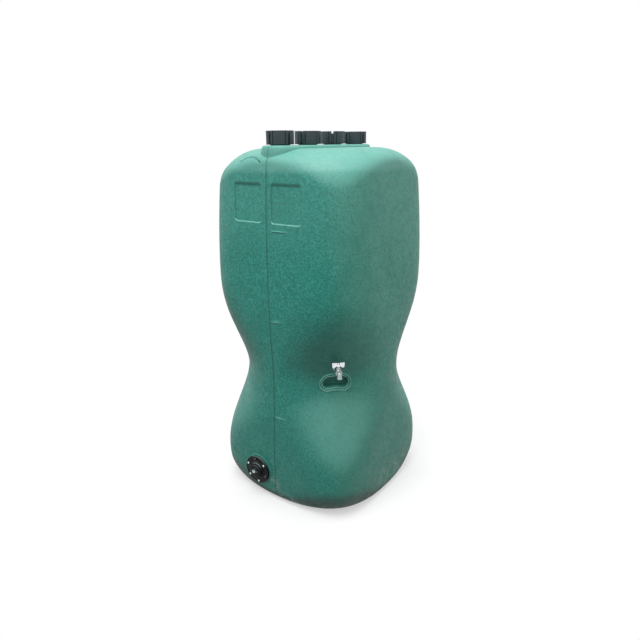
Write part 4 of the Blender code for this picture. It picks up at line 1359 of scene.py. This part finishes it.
    def carve_grip(self, points: np.ndarray) -> tuple[np.ndarray, np.ndarray]:
        """Raise the grip's two ridges and sink its recess, in place.

        Args:
            points: The grid of points.

        Returns:
            How worn each point is, 0 to 1, with a painted highlight: the crests of the ridges are.
            Then how far it is sunk, where shade is painted.
        """
        depth, along = corner_view(points)
        half_length, half_width = self.grip_size[0] / 2, self.grip_size[1] / 2
        arch = self.grip_arch * (0.5 - (along / half_length) ** 2)
        rise = points[..., 2] - self.grip_height - arch
        dent = self.grip_dent * np.exp(-(along / self.grip_dent_width) ** 2) * (rise < 0.0)
        beyond = np.maximum(np.abs(along) - (half_length - half_width), 0.0)
        away = np.hypot(beyond, rise) - half_width + dent
        here = (depth > 0.25) & (np.abs(along) < 0.085)
        wanted, worn_and_highlit = depth, np.zeros_like(depth)
        for reach, proud in self.grip_ridges:
            crest = ease(1.2 - np.abs(away - reach) / self.grip_crest)
            wanted = wanted + proud * crest
            worn_and_highlit = np.maximum(worn_and_highlit, np.where(here, crest, 0.0))
        sunk = ease((-0.001 - away) / self.grip_slope)
        wanted = wanted + (self.grip_back - wanted) * sunk
        push_out(points, np.where(here, wanted - depth, 0.0))
        return worn_and_highlit, np.where(here, sunk, 0.0)

    def skin(self) -> MeshData:
        """Make the closed outer skin with its relief.

        Returns:
            The mesh data, which also says how worn and painted as lit, and how far in painted
            shade, each point is.
        """
        points = self.form.points(self.angles(), self.form.levels(0.0, self.heights()))
        around = np.roll(points, -1, axis=1) - np.roll(points, 1, axis=1)
        normal = np.cross(around, np.gradient(points, axis=0))
        normal /= np.maximum(np.linalg.norm(normal, axis=2, keepdims=True), 1e-12)
        relief, sunk = self.relief_field(points), self.panel_field(points)
        off_seam = np.abs(points[..., 0]) > 0.008
        # A painted highlight along the panels' lower ledges, with wear and a painted highlight on
        # raised crests.
        lower_edge = ease((self.panel_low + 0.012 - points[..., 2]) / 0.006)
        crests = ease(relief / 0.0022) * 0.3 * off_seam
        worn_and_highlit = np.maximum(crests, 3.2 * sunk * (1.0 - sunk) * lower_edge)
        # Painted shade in the grooves, and below in the grip's recess.
        hollow_shade = ease(-relief / 0.003) * off_seam
        lift = relief - self.panel_depth * sunk
        lift[0] = lift[-1] = 0.0
        points += normal * lift[..., None]
        crest, recess = self.carve_grip(points)
        data = self.grid_mesh("tank_skin", points)
        for name, first, second in (("edge_wear_and_highlight", worn_and_highlit, crest), ("hollow_shade", hollow_shade, recess)):
            layer = data.attributes.new(name, "FLOAT", "POINT").data
            layer.foreach_set("value", np.maximum(first, second).reshape(-1))
        return data

    def grid_mesh(self, name: str, points: np.ndarray) -> MeshData:
        """Turn a grid of rings into closed mesh data.

        Args:
            name: Name of the data.
            points: The points, one row for each ring.

        Returns:
            The mesh data, with a flat face at each end.
        """
        rows, cols = points.shape[:2]
        index = np.arange(rows * cols).reshape(rows, cols)
        ahead = np.roll(index, -1, axis=1)
        quads = np.stack((index[:-1], ahead[:-1], ahead[1:], index[1:]), axis=-1).reshape(-1, 4)
        faces = quads.tolist() + [index[0][::-1].tolist(), index[-1].tolist()]
        data = bpy.data.meshes.new(name)
        data.from_pydata(points.reshape(-1, 3).tolist(), [], faces)
        return data

    def hollow(self) -> Draft:
        """Make the tank's hollow as a closed solid, drawn in behind the grip and the panels.

        Returns:
            The mesh.
        """
        angles = np.radians(np.arange(0.0, 360.0, 3.75))
        levels = self.form.levels(self.form.wall, run(0.04, 1.45, 0.03))
        points = self.form.points(angles, levels[::2] + levels[-1:], self.form.wall)
        depth, along = corner_view(points)
        away = np.hypot(np.maximum(np.abs(along) - 0.05, 0.0), points[..., 2] - self.grip_height)
        limit = self.grip_back - 0.006 + 0.2 * np.maximum(away - 0.04, 0.0) / 0.04
        push_out(points, np.where(depth > 0.2, np.minimum(limit - depth, 0.0), 0.0))
        x, y, z = np.moveaxis(points, -1, 0)
        behind = ease((0.125 - np.abs(z - self.panel_top + self.panel_size[1] / 2)) / 0.04)
        points[..., 1] += self.panel_depth * behind * ease((0.24 - np.abs(x)) / 0.06) * (y < -0.2)
        mesh = bmesh.new()
        data = self.grid_mesh("hollow", points)
        mesh.from_mesh(data)
        bpy.data.meshes.remove(data)
        return mesh

    def strip_plan(self, straight: float) -> list[Place]:
        """Lay out the strip's outline.

        Args:
            straight: Half the length between the middles of its round ends.

        Returns:
            Each point's way out in X and in Y, and the place along Y of its round end's middle.
        """
        end_steps, side_steps = 48, 40
        plan = []
        for side, end, start in ((-1.0, straight, 0.0), (1.0, -straight, math.pi)):
            plan += [(*polar(1.0, start + math.pi * i / end_steps), end)
                     for i in range(end_steps + 1)]
            plan += [(side, 0.0, side * straight * (-1.0 + 2.0 * i / side_steps))
                     for i in range(1, side_steps)]
        return plan

    def strip(self) -> Draft:
        """Make the raised strip under the caps, which swells softly out of the roof.

        Returns:
            The mesh, which reaches down into the roof.
        """
        plan = self.strip_plan(self.row.places()[-1] + self.strip_end_spare)
        widest = self.strip_half_width + self.strip_spread
        ring_steps = 20
        rings = []
        for i in range(ring_steps + 1):
            share = (i / ring_steps) ** 1.8
            lift = (1.0 - (1.0 - share) ** 2.2) ** (1.0 / 2.2)
            radius = widest - (self.strip_spread + self.strip_round) * share
            ring = []
            for nx, ny, middle in plan:
                x, y = nx * radius, ny * radius + middle
                floor = self.form.top_at(x, y) - 0.0004
                ring.append(Vector((x, y, floor + (self.row.strip_top - floor) * lift)))
            rings.append(ring)
        base = [Vector((point.x * 1.01, point.y * 1.003, point.z - 0.012)) for point in rings[0]]
        return loft([base, *rings])

    def necks(self) -> tuple[Draft, Draft, Draft]:
        """Make what the caps screw onto.

        Returns:
            The four necks, their thread ridges and their bores.
        """
        radius, top = self.neck_radius, self.neck_height
        root = (radius + self.neck_bore) / 2
        necks, ridges, bores = [], [], []
        for y, facing in zip(self.row.places(), self.row.facings):
            neck = turned([
                (radius + 0.004, -0.004), (radius + 0.003, 0.0002), (radius + 0.0012, 0.0012),
                (radius, 0.0032), (radius, top - 0.0012), (radius - 0.0004, top - 0.0004),
                (radius - 0.0014, top)])
            ridge = helix(root, radius + 0.0024, 0.014, math.radians(facing))
            place = Matrix.Translation((0.0, y, self.row.strip_top))
            for found, mesh in ((necks, neck), (ridges, ridge),
                                (bores, rod(self.neck_bore, -0.12, 0.08))):
                found.append(moved(mesh, place))
        return merged(necks), merged(ridges), merged(bores)

    def steps(self) -> list[tuple[Operation, Draft]]:
        """Make every join and cut that finishes the skin.

        Returns:
            Each operation with its tool, in order.
        """
        necks, ridges, bores = self.necks()
        corner, face = self.openings.corner(), self.openings.face()
        boss = turned([
            (0.0235, -0.009), (0.0222, -0.004), (0.0215, -0.0015), (0.0212, -0.0004),
            (0.0205, 0.0)])
        pad = turned([
            (0.0785, -0.007), (0.0755, -0.003), (0.0742, -0.0012), (0.0736, -0.0003),
            (0.0725, 0.0)], 128)
        holes = [moved(rod(self.openings.tap_hole, -0.03, 0.012, 48), corner),
                 moved(rod(self.openings.drain_hole, -0.02, 0.012), face),
                 *self.openings.holes(-0.02, 0.012, 24, face)]
        return [
            (JOIN, self.strip()),
            (JOIN, necks),
            (JOIN, ridges),
            (CUT, moved(rod(self.tap_clearing, 0.0, 0.06), corner)),
            (JOIN, moved(boss, corner)),
            (JOIN, moved(pad, face)),
            (CUT, self.hollow()),
            (CUT, bores),
            (CUT, merged(holes)),
        ]

    def build(self) -> None:
        """Build the moulding and show it for its solid."""
        data = carved("tank_skin", self.skin(), self.steps())
        piece("moulded_tank", data, "tank", "tank_body", self.finishes.green, 38.0)


@dataclass
class ScrewCaps:
    """Four screw caps with grooved grip lugs, and the ring under each."""

    finishes: Finishes
    row: CapRow = field(default_factory=CapRow)
    lift: float = 0.0015
    collar_height: float = 0.006
    lug_drop: float = 0.0045
    bore: float = 0.0388
    wall: float = 0.0032
    body_radius: float = 0.0475
    ceiling: float = 0.0416
    top: float = 0.0045
    lug_radius: float = 0.056
    lug_thickness: float = 0.0125
    lug_rise: float = 0.01
    lug_width: float = 78.0
    groove_at: float = 27.0
    groove_width: float = 4.4
    groove_depth: float = 0.004
    seal_low: float = 0.0383

    def lug_outline(self, facing: float) -> Outline:
        """Draw one lug's plan, with its two grooves and rounded ends.

        Args:
            facing: The way the lug looks, in degrees.

        Returns:
            The (x, y) points, counter-clockwise.
        """
        outer_steps, inner_steps = 156, 40
        half = self.lug_width / 2
        points = []
        for i in range(outer_steps + 1):
            turn = -half + self.lug_width * i / outer_steps
            radius = self.lug_radius
            end = (half - abs(turn)) / 2.2
            if end < 1.0:
                radius -= 0.002 * (1.0 - math.sqrt(max(1.0 - (1.0 - end) ** 2, 0.0)))
            gap = abs(abs(turn) - self.groove_at) / (self.groove_width / 2)
            radius -= self.groove_depth * float(ease(1.35 - gap))
            points.append((radius, turn))
        inner = self.lug_radius - self.lug_thickness
        points += [(inner, half - self.lug_width * i / inner_steps) for i in range(inner_steps + 1)]
        return [polar(radius, math.radians(facing + turn)) for radius, turn in points]

    @property
    def step(self) -> float:
        """Return the height at which the collar ends."""
        return self.lift + self.collar_height

    @property
    def disc(self) -> float:
        """Return the height of the cap's top face."""
        return self.ceiling + self.top

    def shell(self) -> Draft:
        """Turn the cap's outside, with its collar, beads and dished top.

        Returns:
            The mesh.
        """
        step, disc, collar, side = self.step, self.disc, self.bore + self.wall, self.body_radius
        return turned([
            (collar - 0.0006, self.lift), (collar, self.lift + 0.0006), (collar, self.lift + 0.003),
            (collar - 0.0005, self.lift + 0.0034), (collar - 0.0005, step - 0.001),
            (collar, step - 0.0004), (side - 0.0008, step), (side, step + 0.0008),
            (side, disc - 0.0012), (side - 0.0004, disc - 0.0004), (side - 0.0012, disc),
            (0.0335, disc), (0.0328, disc + 0.001), (0.0312, disc + 0.001), (0.0305, disc),
            (0.009, disc), (0.0084, disc + 0.0008), (0.006, disc + 0.001),
            (0.001, disc + 0.001)], 144)

    def mesh(self) -> MeshData:
        """Make one cap around its own axis.

        Returns:
            The mesh data.
        """
        lugs, ribs, low, high = [], [], self.step + 0.001, self.disc - 0.001
        section = [(0.046, -0.0007), (0.0492, -0.0007), (0.0492, 0.0007), (0.046, 0.0007)]
        for quarter in (0.0, 90.0, 180.0, 270.0):
            lugs.append(prism(self.lug_outline(quarter), self.step - self.lug_drop,
                                   self.disc + self.lug_rise, 0.0016, 0.0008))
            for turn in (-2.5, 2.5):
                rib = prism(rounded(section, 0.0004, 3), low, high, 0.0004)
                angle = math.radians(45.0 + quarter + turn)
                ribs.append(moved(rib, Matrix.Rotation(angle, 4, "Z")))
        return carved("screw_cap", self.shell(), [
            (JOIN, merged(lugs)),
            (JOIN, merged(ribs)),
            (CUT, rod(self.bore, -0.01, self.ceiling, 144)),
            (JOIN, helix(self.bore + 0.001, 0.0364, 0.011, 0.0))])

    def build(self) -> None:
        """Build the four caps and their rings."""
        cap, low = self.mesh(), self.seal_low
        ring = as_data("cap_ring", turned([
            (0.031, low + 0.0004), (0.0314, low), (0.0376, low), (0.038, low + 0.0004),
            (0.038, low + 0.0026), (0.0376, low + 0.003), (0.0314, low + 0.003),
            (0.031, low + 0.0026)], ring=True))
        for number, (y, facing) in enumerate(zip(self.row.places(), self.row.facings), start=1):
            place = Matrix.Translation((0.0, y, self.row.strip_top))
            cover, seal = cap.copy(), ring.copy()
            cover.transform(place @ Matrix.Rotation(math.radians(facing), 4, "Z"))
            seal.transform(place)
            piece(f"screw_cap_{number}", cover, f"cap_{number}", f"cap_{number}",
                       self.finishes.black, 30.0)
            piece(f"cap_ring_{number}", seal, f"seal_{number}", f"cap_seal_{number}",
                       self.finishes.rubber)
        for pattern in (cap, ring):
            bpy.data.meshes.remove(pattern)


@dataclass
class BallTap:
    """The small ball tap on the corner: body, spout, handle, gland, domed nut and gasket."""

    finishes: Finishes
    openings: Openings = field(default_factory=Openings)
    tail_end: float = 0.0261
    body_start: float = 0.0026
    hex_end: float = 0.0086
    chamber_start: float = 0.0331
    chamber_radius: float = 0.0102
    ball_place: float = 0.0425807
    barrel_end: float = 0.0570614
    spout_start: float = 0.0573614
    spout_axis: float = 0.0710614
    spout_radius: float = 0.0098
    spout_drop: float = 0.0215
    bore: float = 0.0055
    bend: float = 0.0102
    hub_low: float = 0.0234
    hub_top: float = 0.0309
    stem_hole: float = 0.0037

    def upright(self) -> Matrix:
        """Return the matrix that stands a piece on the ball, from the tap's own lying frame."""
        standing = Matrix.Rotation(-math.pi / 2, 4, "X")
        return Matrix.Translation((0.0, 0.0, self.ball_place)) @ standing

    def body(self) -> MeshData:
        """Make the body: tail, hexagon, necked barrel and bonnet, bored through.

        Returns:
            The mesh data.
        """
        shell = turned([
            (0.0097, -self.tail_end), (0.0105, 0.0008 - self.tail_end), (0.0105, self.body_start),
            (0.0128, self.body_start), (0.0135, 0.0032), (0.0135, 0.0096), (0.0128, 0.0104),
            (0.0114, 0.0116), (0.0108, 0.0132), (0.0108, 0.0222), (0.0113, 0.0242),
            (0.0124, 0.0262), (0.0132, 0.0284), (0.0135, 0.0304), (0.0135, 0.0498),
            (0.0132, 0.0505), (0.0128, 0.0507),
            (0.0128, 0.0515), (0.0132, 0.0517), (0.0135, 0.0524), (0.0135, 0.0564),
            (0.0131, self.barrel_end)])
        bonnet = turned([
            (0.0102, 0.0), (0.01, 0.0122), (0.0094, 0.0136), (0.0085, 0.0148), (0.008, 0.016),
            (0.008, 0.0195), (0.0076, 0.02)], 72)
        upright = self.upright()
        return carved("tap_body", shell, [
            (JOIN, hexagon(0.0165, self.body_start, self.hex_end)),
            (JOIN, moved(bonnet, upright)),
            (CUT, rod(self.bore, -0.05, self.chamber_start + 0.0003, 48)),
            (CUT, rod(self.chamber_radius, self.chamber_start, 0.08, 72)),
            (CUT, moved(rod(self.stem_hole, 0.0, 0.021, 48), upright)),
            (CUT, moved(rod(0.0064, 0.0146, 0.021, 48), upright))])

    def spout(self) -> MeshData:
        """Make the spout: collar, elbow and beaded outlet, bored through.

        Returns:
            The mesh data.
        """
        start, axis, drop, bend_steps = self.spout_start, self.spout_axis, self.spout_drop, 16
        collar = turned([
            (0.0094, 0.0520614), (0.0099, 0.0525), (0.0099, start), (0.0131, start),
            (0.0135, start + 0.0004), (0.0135, start + 0.0024), (0.013, start + 0.003),
            (0.0105, start + 0.0034), (self.spout_radius - 0.001, start + 0.004)])
        leans = [math.pi / 2 * i / bend_steps for i in range(bend_steps + 1)]
        bend = [(self.bend * (math.cos(lean) - 1.0), axis - self.bend * (1.0 - math.sin(lean)))
                for lean in leans]
        tail = [(-0.015, 0.0), (-0.0158, 0.0003), (-0.0164, 0.0009), (-0.0176, 0.0012),
                (-0.02, 0.0012), (-0.021, 0.0008), (-drop, 0.0)]
        path = [(0.0, start + 0.002)] + bend + [(y, axis) for y, _ in tail]
        radii = [self.spout_radius] * (1 + len(bend))
        radii += [self.spout_radius + swell for _, swell in tail]
        inside = [(0.0, 0.05)] + bend + [(-0.04, axis)]
        return carved("tap_spout", collar, [
            (JOIN, swept(path, radii)),
            (CUT, swept(inside, [self.bore] * len(inside), 36))])

    def handle(self) -> MeshData:
        """Make the butterfly handle with its hub, around the stem's own upright axis.

        Returns:
            The mesh data.
        """
        hub = turned([(0.0076, self.hub_low), (0.008, self.hub_low + 0.0005),
                           (0.008, self.hub_top - 0.001), (0.0072, self.hub_top)], 64)
        half = [(0.0088, 0.024), (0.0128, 0.0196), (0.0238, 0.0176), (0.0256, 0.025),
                (0.027, 0.0412), (0.0051, 0.0404), (0.0051, self.hub_top)]
        outline = rounded(half + [(-x, z) for x, z in reversed(half)], 0.0019, 5)
        wings = prism(outline, -0.004, 0.004, 0.0017, 0.0017)
        return carved("tap_handle", hub, [
            (JOIN, moved(wings, Matrix.Rotation(math.pi / 2, 4, "X"))),
            (CUT, rod(self.stem_hole, 0.0, 0.06, 48))])

    def gland(self) -> MeshData:
        """Make the gland nut that presses the packing."""
        return carved("tap_gland", hexagon(0.008, 0.0203, 0.0231, 0.0005), [
            (JOIN, rod(0.0061, 0.0184, 0.021, 48)),
            (CUT, rod(self.stem_hole, 0.0, 0.06, 48))])

    def cap_nut(self) -> MeshData:
        """Make the domed nut that holds the handle.

        Returns:
            The mesh data.
        """
        low = self.hub_top + 0.0003
        dome = turned([(0.004, low + 0.0015), (0.0041, low + 0.0052), (0.0038, low + 0.007),
                            (0.0029, low + 0.0082), (0.0012, low + 0.0088)], 48)
        return carved("tap_nut", hexagon(0.0046, low, low + 0.0026, 0.0004), [
            (JOIN, dome),
            (CUT, rod(0.0027, 0.0, low + 0.0034, 36))])

    def build(self) -> None:
        """Build the tap's visible pieces."""
        along = self.openings.corner()
        standing = along @ self.upright()
        chrome, nickel, rubber = self.finishes.chrome, self.finishes.nickel, self.finishes.rubber
        gasket = as_data("tap_gasket", turned([
            (0.0108, 0.0004), (0.0112, 0.0003), (0.0156, 0.0003), (0.016, 0.0007), (0.016, 0.0019),
            (0.0156, 0.0023), (0.0112, 0.0023), (0.0108, 0.0022)], ring=True))
        for name, data, place, body, slot, material in (
                ("body", self.body(), along, "tank", "chrome", nickel),
                ("spout", self.spout(), along, "tank", "chrome", nickel),
                ("gasket", gasket, along, "tank", "black_rubber", rubber),
                ("gland", self.gland(), standing, "tank", "chrome", nickel),
                ("handle", self.handle(), standing, "tap_lever", "chrome", chrome)):
            data.transform(place)
            piece(f"ball_tap_{name}", data, body, f"tap_{name}", material, 28.0)
        nut = self.cap_nut()
        nut.transform(standing)
        piece("ball_tap_nut", nut, "tap_lever", "tap_handle_nut", chrome, 28.0)


@dataclass
class DrainFitting:
    """The black drain flange with its six screws, screw plug and seals."""

    finishes: Finishes
    openings: Openings = field(default_factory=Openings)
    bore: float = 0.0243
    flange_start: float = 0.0036
    flange_end: float = 0.0121
    flange_radius: float = 0.0685
    boss_radius: float = 0.036
    boss_end: float = 0.0201
    tarnished: tuple[int, ...] = (2, 6)
    head_start: float = 0.0227
    head_radius: float = 0.03
    head_thickness: float = 0.005
    rib_depth: float = 0.0009
    bar: Place = (0.04, 0.008, 0.009)

    def drilled(self, name: str, base: Draft, joins: Sequence[Draft] = ()) -> MeshData:
        """Join raised seats onto a ring and cut the screw holes.

        Args:
            name: Name of the mesh.
            base: The ring.
            joins: Meshes to join on first.

        Returns:
            The mesh data.
        """
        steps = [(JOIN, mesh) for mesh in joins]
        holes = merged(self.openings.holes(-0.03, 0.03, 32))
        return carved(name, base, steps + [(CUT, holes)])

    def flange(self) -> MeshData:
        """Make the flange: rolled rim, sunk face with screw seats, and a coned boss.

        Returns:
            The mesh data.
        """
        start, end, top = self.flange_start, self.flange_end, self.boss_end
        rim, boss, bore = self.flange_radius, self.boss_radius, self.bore
        ring = turned([
            (bore, start), (rim - 0.0008, start), (rim, start + 0.0008), (rim, end - 0.0022),
            (rim - 0.0006, end - 0.0008), (rim - 0.0019, end), (rim - 0.0034, end),
            (rim - 0.0044, end - 0.0005), (rim - 0.0054, end - 0.0018),
            (boss + 0.009, end - 0.0018),
            (boss + 0.0076, end - 0.0012), (boss + 0.0066, end), (boss + 0.0034, end),
            (boss + 0.0018, end + 0.0006), (boss + 0.001, end + 0.002), (boss, top - 0.0014),
            (boss - 0.0004, top - 0.0004), (boss - 0.0014, top), (bore + 0.0008, top),
            (bore, top - 0.0008)], 160, ring=True)
        seat = [(0.0086, start + 0.001), (0.0086, end - 0.001), (0.008, end - 0.0002),
                (0.0074, end)]
        seats = [moved(turned(seat, 48), bolt) for bolt in self.openings.bolts()]
        return self.drilled("drain_flange", ring, [merged(seats)])

    def screw(self) -> MeshData:
        """Make one button-headed screw with its hexagon socket and its shank.

        Returns:
            The mesh data.
        """
        head = self.flange_end + 0.0003
        shell = turned([
            (0.0024, -0.0196), (0.003, -0.019), (0.003, head), (0.0056, head),
            (0.0058, head + 0.0003), (0.0056, head + 0.0016), (0.0049, head + 0.0029),
            (0.0037, head + 0.0038), (0.002, head + 0.0042)], 48)
        socket = hexagon(0.0021, head + 0.002, head + 0.006, 0.0002)
        return carved("drain_screw", shell, [(CUT, socket)])

    def plug(self) -> MeshData:
        """Make the screw plug with its ribbed head and grip bar.

        Returns:
            The mesh data.
        """
        low, end = self.head_start, self.head_start + self.head_thickness
        ribs, steps = 36, 288
        outline = []
        for i in range(steps):
            turn = 2.0 * math.pi * i / steps
            notch = max(math.cos(ribs * turn), 0.0) ** 2
            outline.append(polar(self.head_radius - self.rib_depth * notch, turn))
        x, y, height = self.bar[0] / 2, self.bar[1] / 2, self.bar[2]
        corners = rounded([(x, y), (-x, y), (-x, -y), (x, -y)], 0.0036, 8)
        swell = turned([
            (0.011, end - 0.002), (0.0104, end + 0.001), (0.0082, end + 0.004),
            (0.0072, end + height - 0.0014), (0.006, end + height)], 64)
        body = turned([(0.0232, low - 0.012), (0.024, low - 0.0112), (0.024, low + 0.001)])
        return carved("drain_plug", prism(outline, low, end, 0.001, 0.0006), [
            (CUT, turned([(0.0262, end - 0.001), (0.0266, end + 0.001)])),
            (JOIN, turned([(0.014, end - 0.0016), (0.0136, end + 0.0012)])),
            (JOIN, prism(corners, end - 0.002, end + height, 0.0024)),
            (JOIN, swell),
            (JOIN, body)])

    def build(self) -> None:
        """Build the drain's visible pieces."""
        face = self.openings.face()
        gloss, rubber = self.finishes.gloss, self.finishes.rubber
        gasket = self.drilled("drain_gasket", turned([
            (0.03, 0.0003), (0.0666, 0.0003), (0.067, 0.0007), (0.067, 0.0029), (0.0666, 0.0033),
            (0.03, 0.0033)], 160, ring=True))
        seal = as_data("drain_plug_seal", turned([
            (self.bore, 0.0204), (0.0296, 0.0204), (0.03, 0.0208), (0.03, 0.022),
            (0.0296, 0.0224), (self.bore, 0.0224)], 144, ring=True))
        for name, data, body, node, slot, material in (
                ("drain_flange_ring", self.flange(), "tank", "drain_flange",
                 "black_plastic", gloss),
                ("drain_flange_gasket", gasket, "tank", "drain_gasket", "black_rubber", rubber),
                ("drain_screw_plug", self.plug(), "plug", "drain_plug", "black_plastic", gloss),
                ("drain_plug_ring", seal, "plug_seal", "drain_plug_seal", "black_rubber", rubber)):
            data.transform(face)
            piece(name, data, body, node, material, 28.0)
        screw = self.screw()
        for number, bolt in enumerate(self.openings.bolts(), start=1):
            copy = screw.copy()
            copy.transform(face @ bolt @ Matrix.Rotation(math.radians(23.0 * number), 4, "Z"))
            material = self.finishes.tarnish if number in self.tarnished else self.finishes.zinc
            piece(f"drain_screw_{number}", copy, "tank", f"drain_bolt_{number}",
                       material, 28.0)
        bpy.data.meshes.remove(screw)


@dataclass
class HiddenParts:
    """Solids whose shape is right as it is, which only take a finish."""

    finishes: Finishes

    def build(self) -> None:
        """Give each remaining solid its finish."""
        dress = self.finishes
        looks = {"green_plastic": dress.green, "black_plastic": dress.black,
                 "black_rubber": dress.rubber, "white_plastic": dress.nylon,
                 "chrome": dress.chrome, "brass": dress.brass, "plated_steel": dress.zinc}
        for part in frame["record"]["subparts"]:
            node = frame["nodes"][part["node"]]
            if node.hide_render:
                continue
            node.data.materials.clear()
            node.data.materials.append(looks[part["material_slot"]])
            LOG.info("%s: finished as %s", node.name, part["material_slot"])


@dataclass
class Studio:
    """Pale floor, soft lights and the camera."""

    eye: Place = (1.49420717, -2.04953389, 1.613059)
    ahead: Place = (-0.56344963, 0.76640321, -0.30846497)
    above: Place = (-0.17434821, 0.25465796, 0.95118454)
    lens: float = 30.956
    floor_glow: float = 0.45
    floor_bounce: float = 0.11
    sky_light: float = 1.0
    seen_by: tuple[str, str, str] = ("Camera", "Glossy", "Transmission")
    lamps: tuple[tuple[str, Place, Place, float, float], ...] = (
        ("top_light", (0.00, 0.12, 4.6), (0.0, 0.0, 1.6), 1.8, 47.0),
        ("front_light", (0.25, -1.7, 4.1), (0.0, 0.0, 1.3), 2.0, 58.0))

    def floor(self) -> None:
        """Lay a pale floor that keeps the tank's shadow and turns white further away."""
        mesh = bmesh.new()
        bmesh.ops.create_grid(mesh, x_segments=1, y_segments=1, size=30.0)
        thing = bpy.data.objects.new("studio_floor", as_data("studio_floor", mesh))
        bpy.context.scene.collection.objects.link(thing)
        sheet = NodeSheet("studio_paper")
        path = sheet.add("ShaderNodeLightPath").outputs
        seen = sheet.most(*(path[f"Is {kind} Ray"] for kind in self.seen_by))
        away = sheet.near((0.0, 0.0, 0.0), (1.0, 1.0, 1.0))
        far = sheet.span(away, 0.45, 1.5, self.floor_glow, 1.0)
        tone = sheet.span(sheet.noise(3.0, 2.0), 0.3, 0.7, 0.92, 0.96)
        shown = sheet.times(tone, sheet.reckon("SUBTRACT", 1.0, far))
        bounced = sheet.times(sheet.reckon("SUBTRACT", 1.0, seen), self.floor_bounce)
        thing.data.materials.append(sheet.dress(
            Base_Color=sheet.reckon("ADD", sheet.times(seen, shown), bounced), Roughness=0.9,
            Specular_IOR_Level=0.0, Emission_Color=(1.0, 1.0, 1.0),
            Emission_Strength=sheet.times(seen, far)))

    def sky(self) -> None:
        """Light the scene evenly, and show white behind the tank."""
        world = bpy.data.worlds.new("studio_sky")
        bpy.context.scene.world = world
        world.use_nodes = True
        tree = world.node_tree
        tree.nodes.clear()
        path, seen, either, light, white, mixed, out = (
            tree.nodes.new(f"ShaderNode{kind}") for kind in (
                "LightPath", "Math", "Math", "Background", "Background", "MixShader",
                "OutputWorld"))
        seen.operation = either.operation = "MAXIMUM"
        for node, glow in ((light, self.sky_light), (white, 1.0)):
            node.inputs["Color"].default_value = (1.0, 1.0, 1.0, 1.0)
            node.inputs["Strength"].default_value = glow
        camera, glossy, clear = (path.outputs[f"Is {kind} Ray"] for kind in self.seen_by)
        for start, end in (
                (camera, seen.inputs[0]), (glossy, seen.inputs[1]),
                (seen.outputs[0], either.inputs[0]), (clear, either.inputs[1]),
                (either.outputs[0], mixed.inputs[0]),
                (light.outputs[0], mixed.inputs[1]), (white.outputs[0], mixed.inputs[2]),
                (mixed.outputs[0], out.inputs[0])):
            tree.links.new(start, end)

    def lamp(self, name: str, place: Place, target: Place, size: float, power: float) -> None:
        """Hang a square soft light.

        Args:
            name: Name of the light.
            place: Where it hangs.
            target: What it looks at.
            size: Its side, in metres.
            power: Its power, in watts.
        """
        data = bpy.data.lights.new(name, "AREA")
        data.shape, data.size, data.energy = "SQUARE", size, power
        thing = bpy.data.objects.new(name, data)
        thing.location = place
        thing.rotation_euler = (Vector(target) - Vector(place)).to_track_quat("-Z", "Y").to_euler()
        bpy.context.scene.collection.objects.link(thing)

    def camera(self) -> None:
        """Set the camera where the photograph was taken from."""
        data = bpy.data.cameras.new("camera")
        data.lens, data.sensor_width = self.lens, 36.0
        thing = bpy.data.objects.new("camera", data)
        bpy.context.scene.collection.objects.link(thing)
        ahead, above = Vector(self.ahead).normalized(), Vector(self.above).normalized()
        right = ahead.cross(above).normalized()
        above = right.cross(ahead)
        turn = Matrix((right, above, -ahead)).transposed()
        thing.matrix_world = Matrix.Translation(self.eye) @ turn.to_4x4()
        bpy.context.scene.camera = thing

    def build(self) -> None:
        """Set up the floor, the lights and the camera."""
        bpy.context.scene.view_settings.view_transform = "Standard"
        self.floor()
        self.sky()
        for lamp in self.lamps:
            self.lamp(*lamp)
        self.camera()


def main() -> None:
    """Build every sub-assembly in order."""
    logging.basicConfig(level=logging.INFO, format="%(message)s")
    finishes = Finishes()
    for part in (TankBody(finishes), ScrewCaps(finishes), BallTap(finishes), DrainFitting(finishes),
                 HiddenParts(finishes), Studio()):
        part.build()


if __name__ == "__main__":
    main()
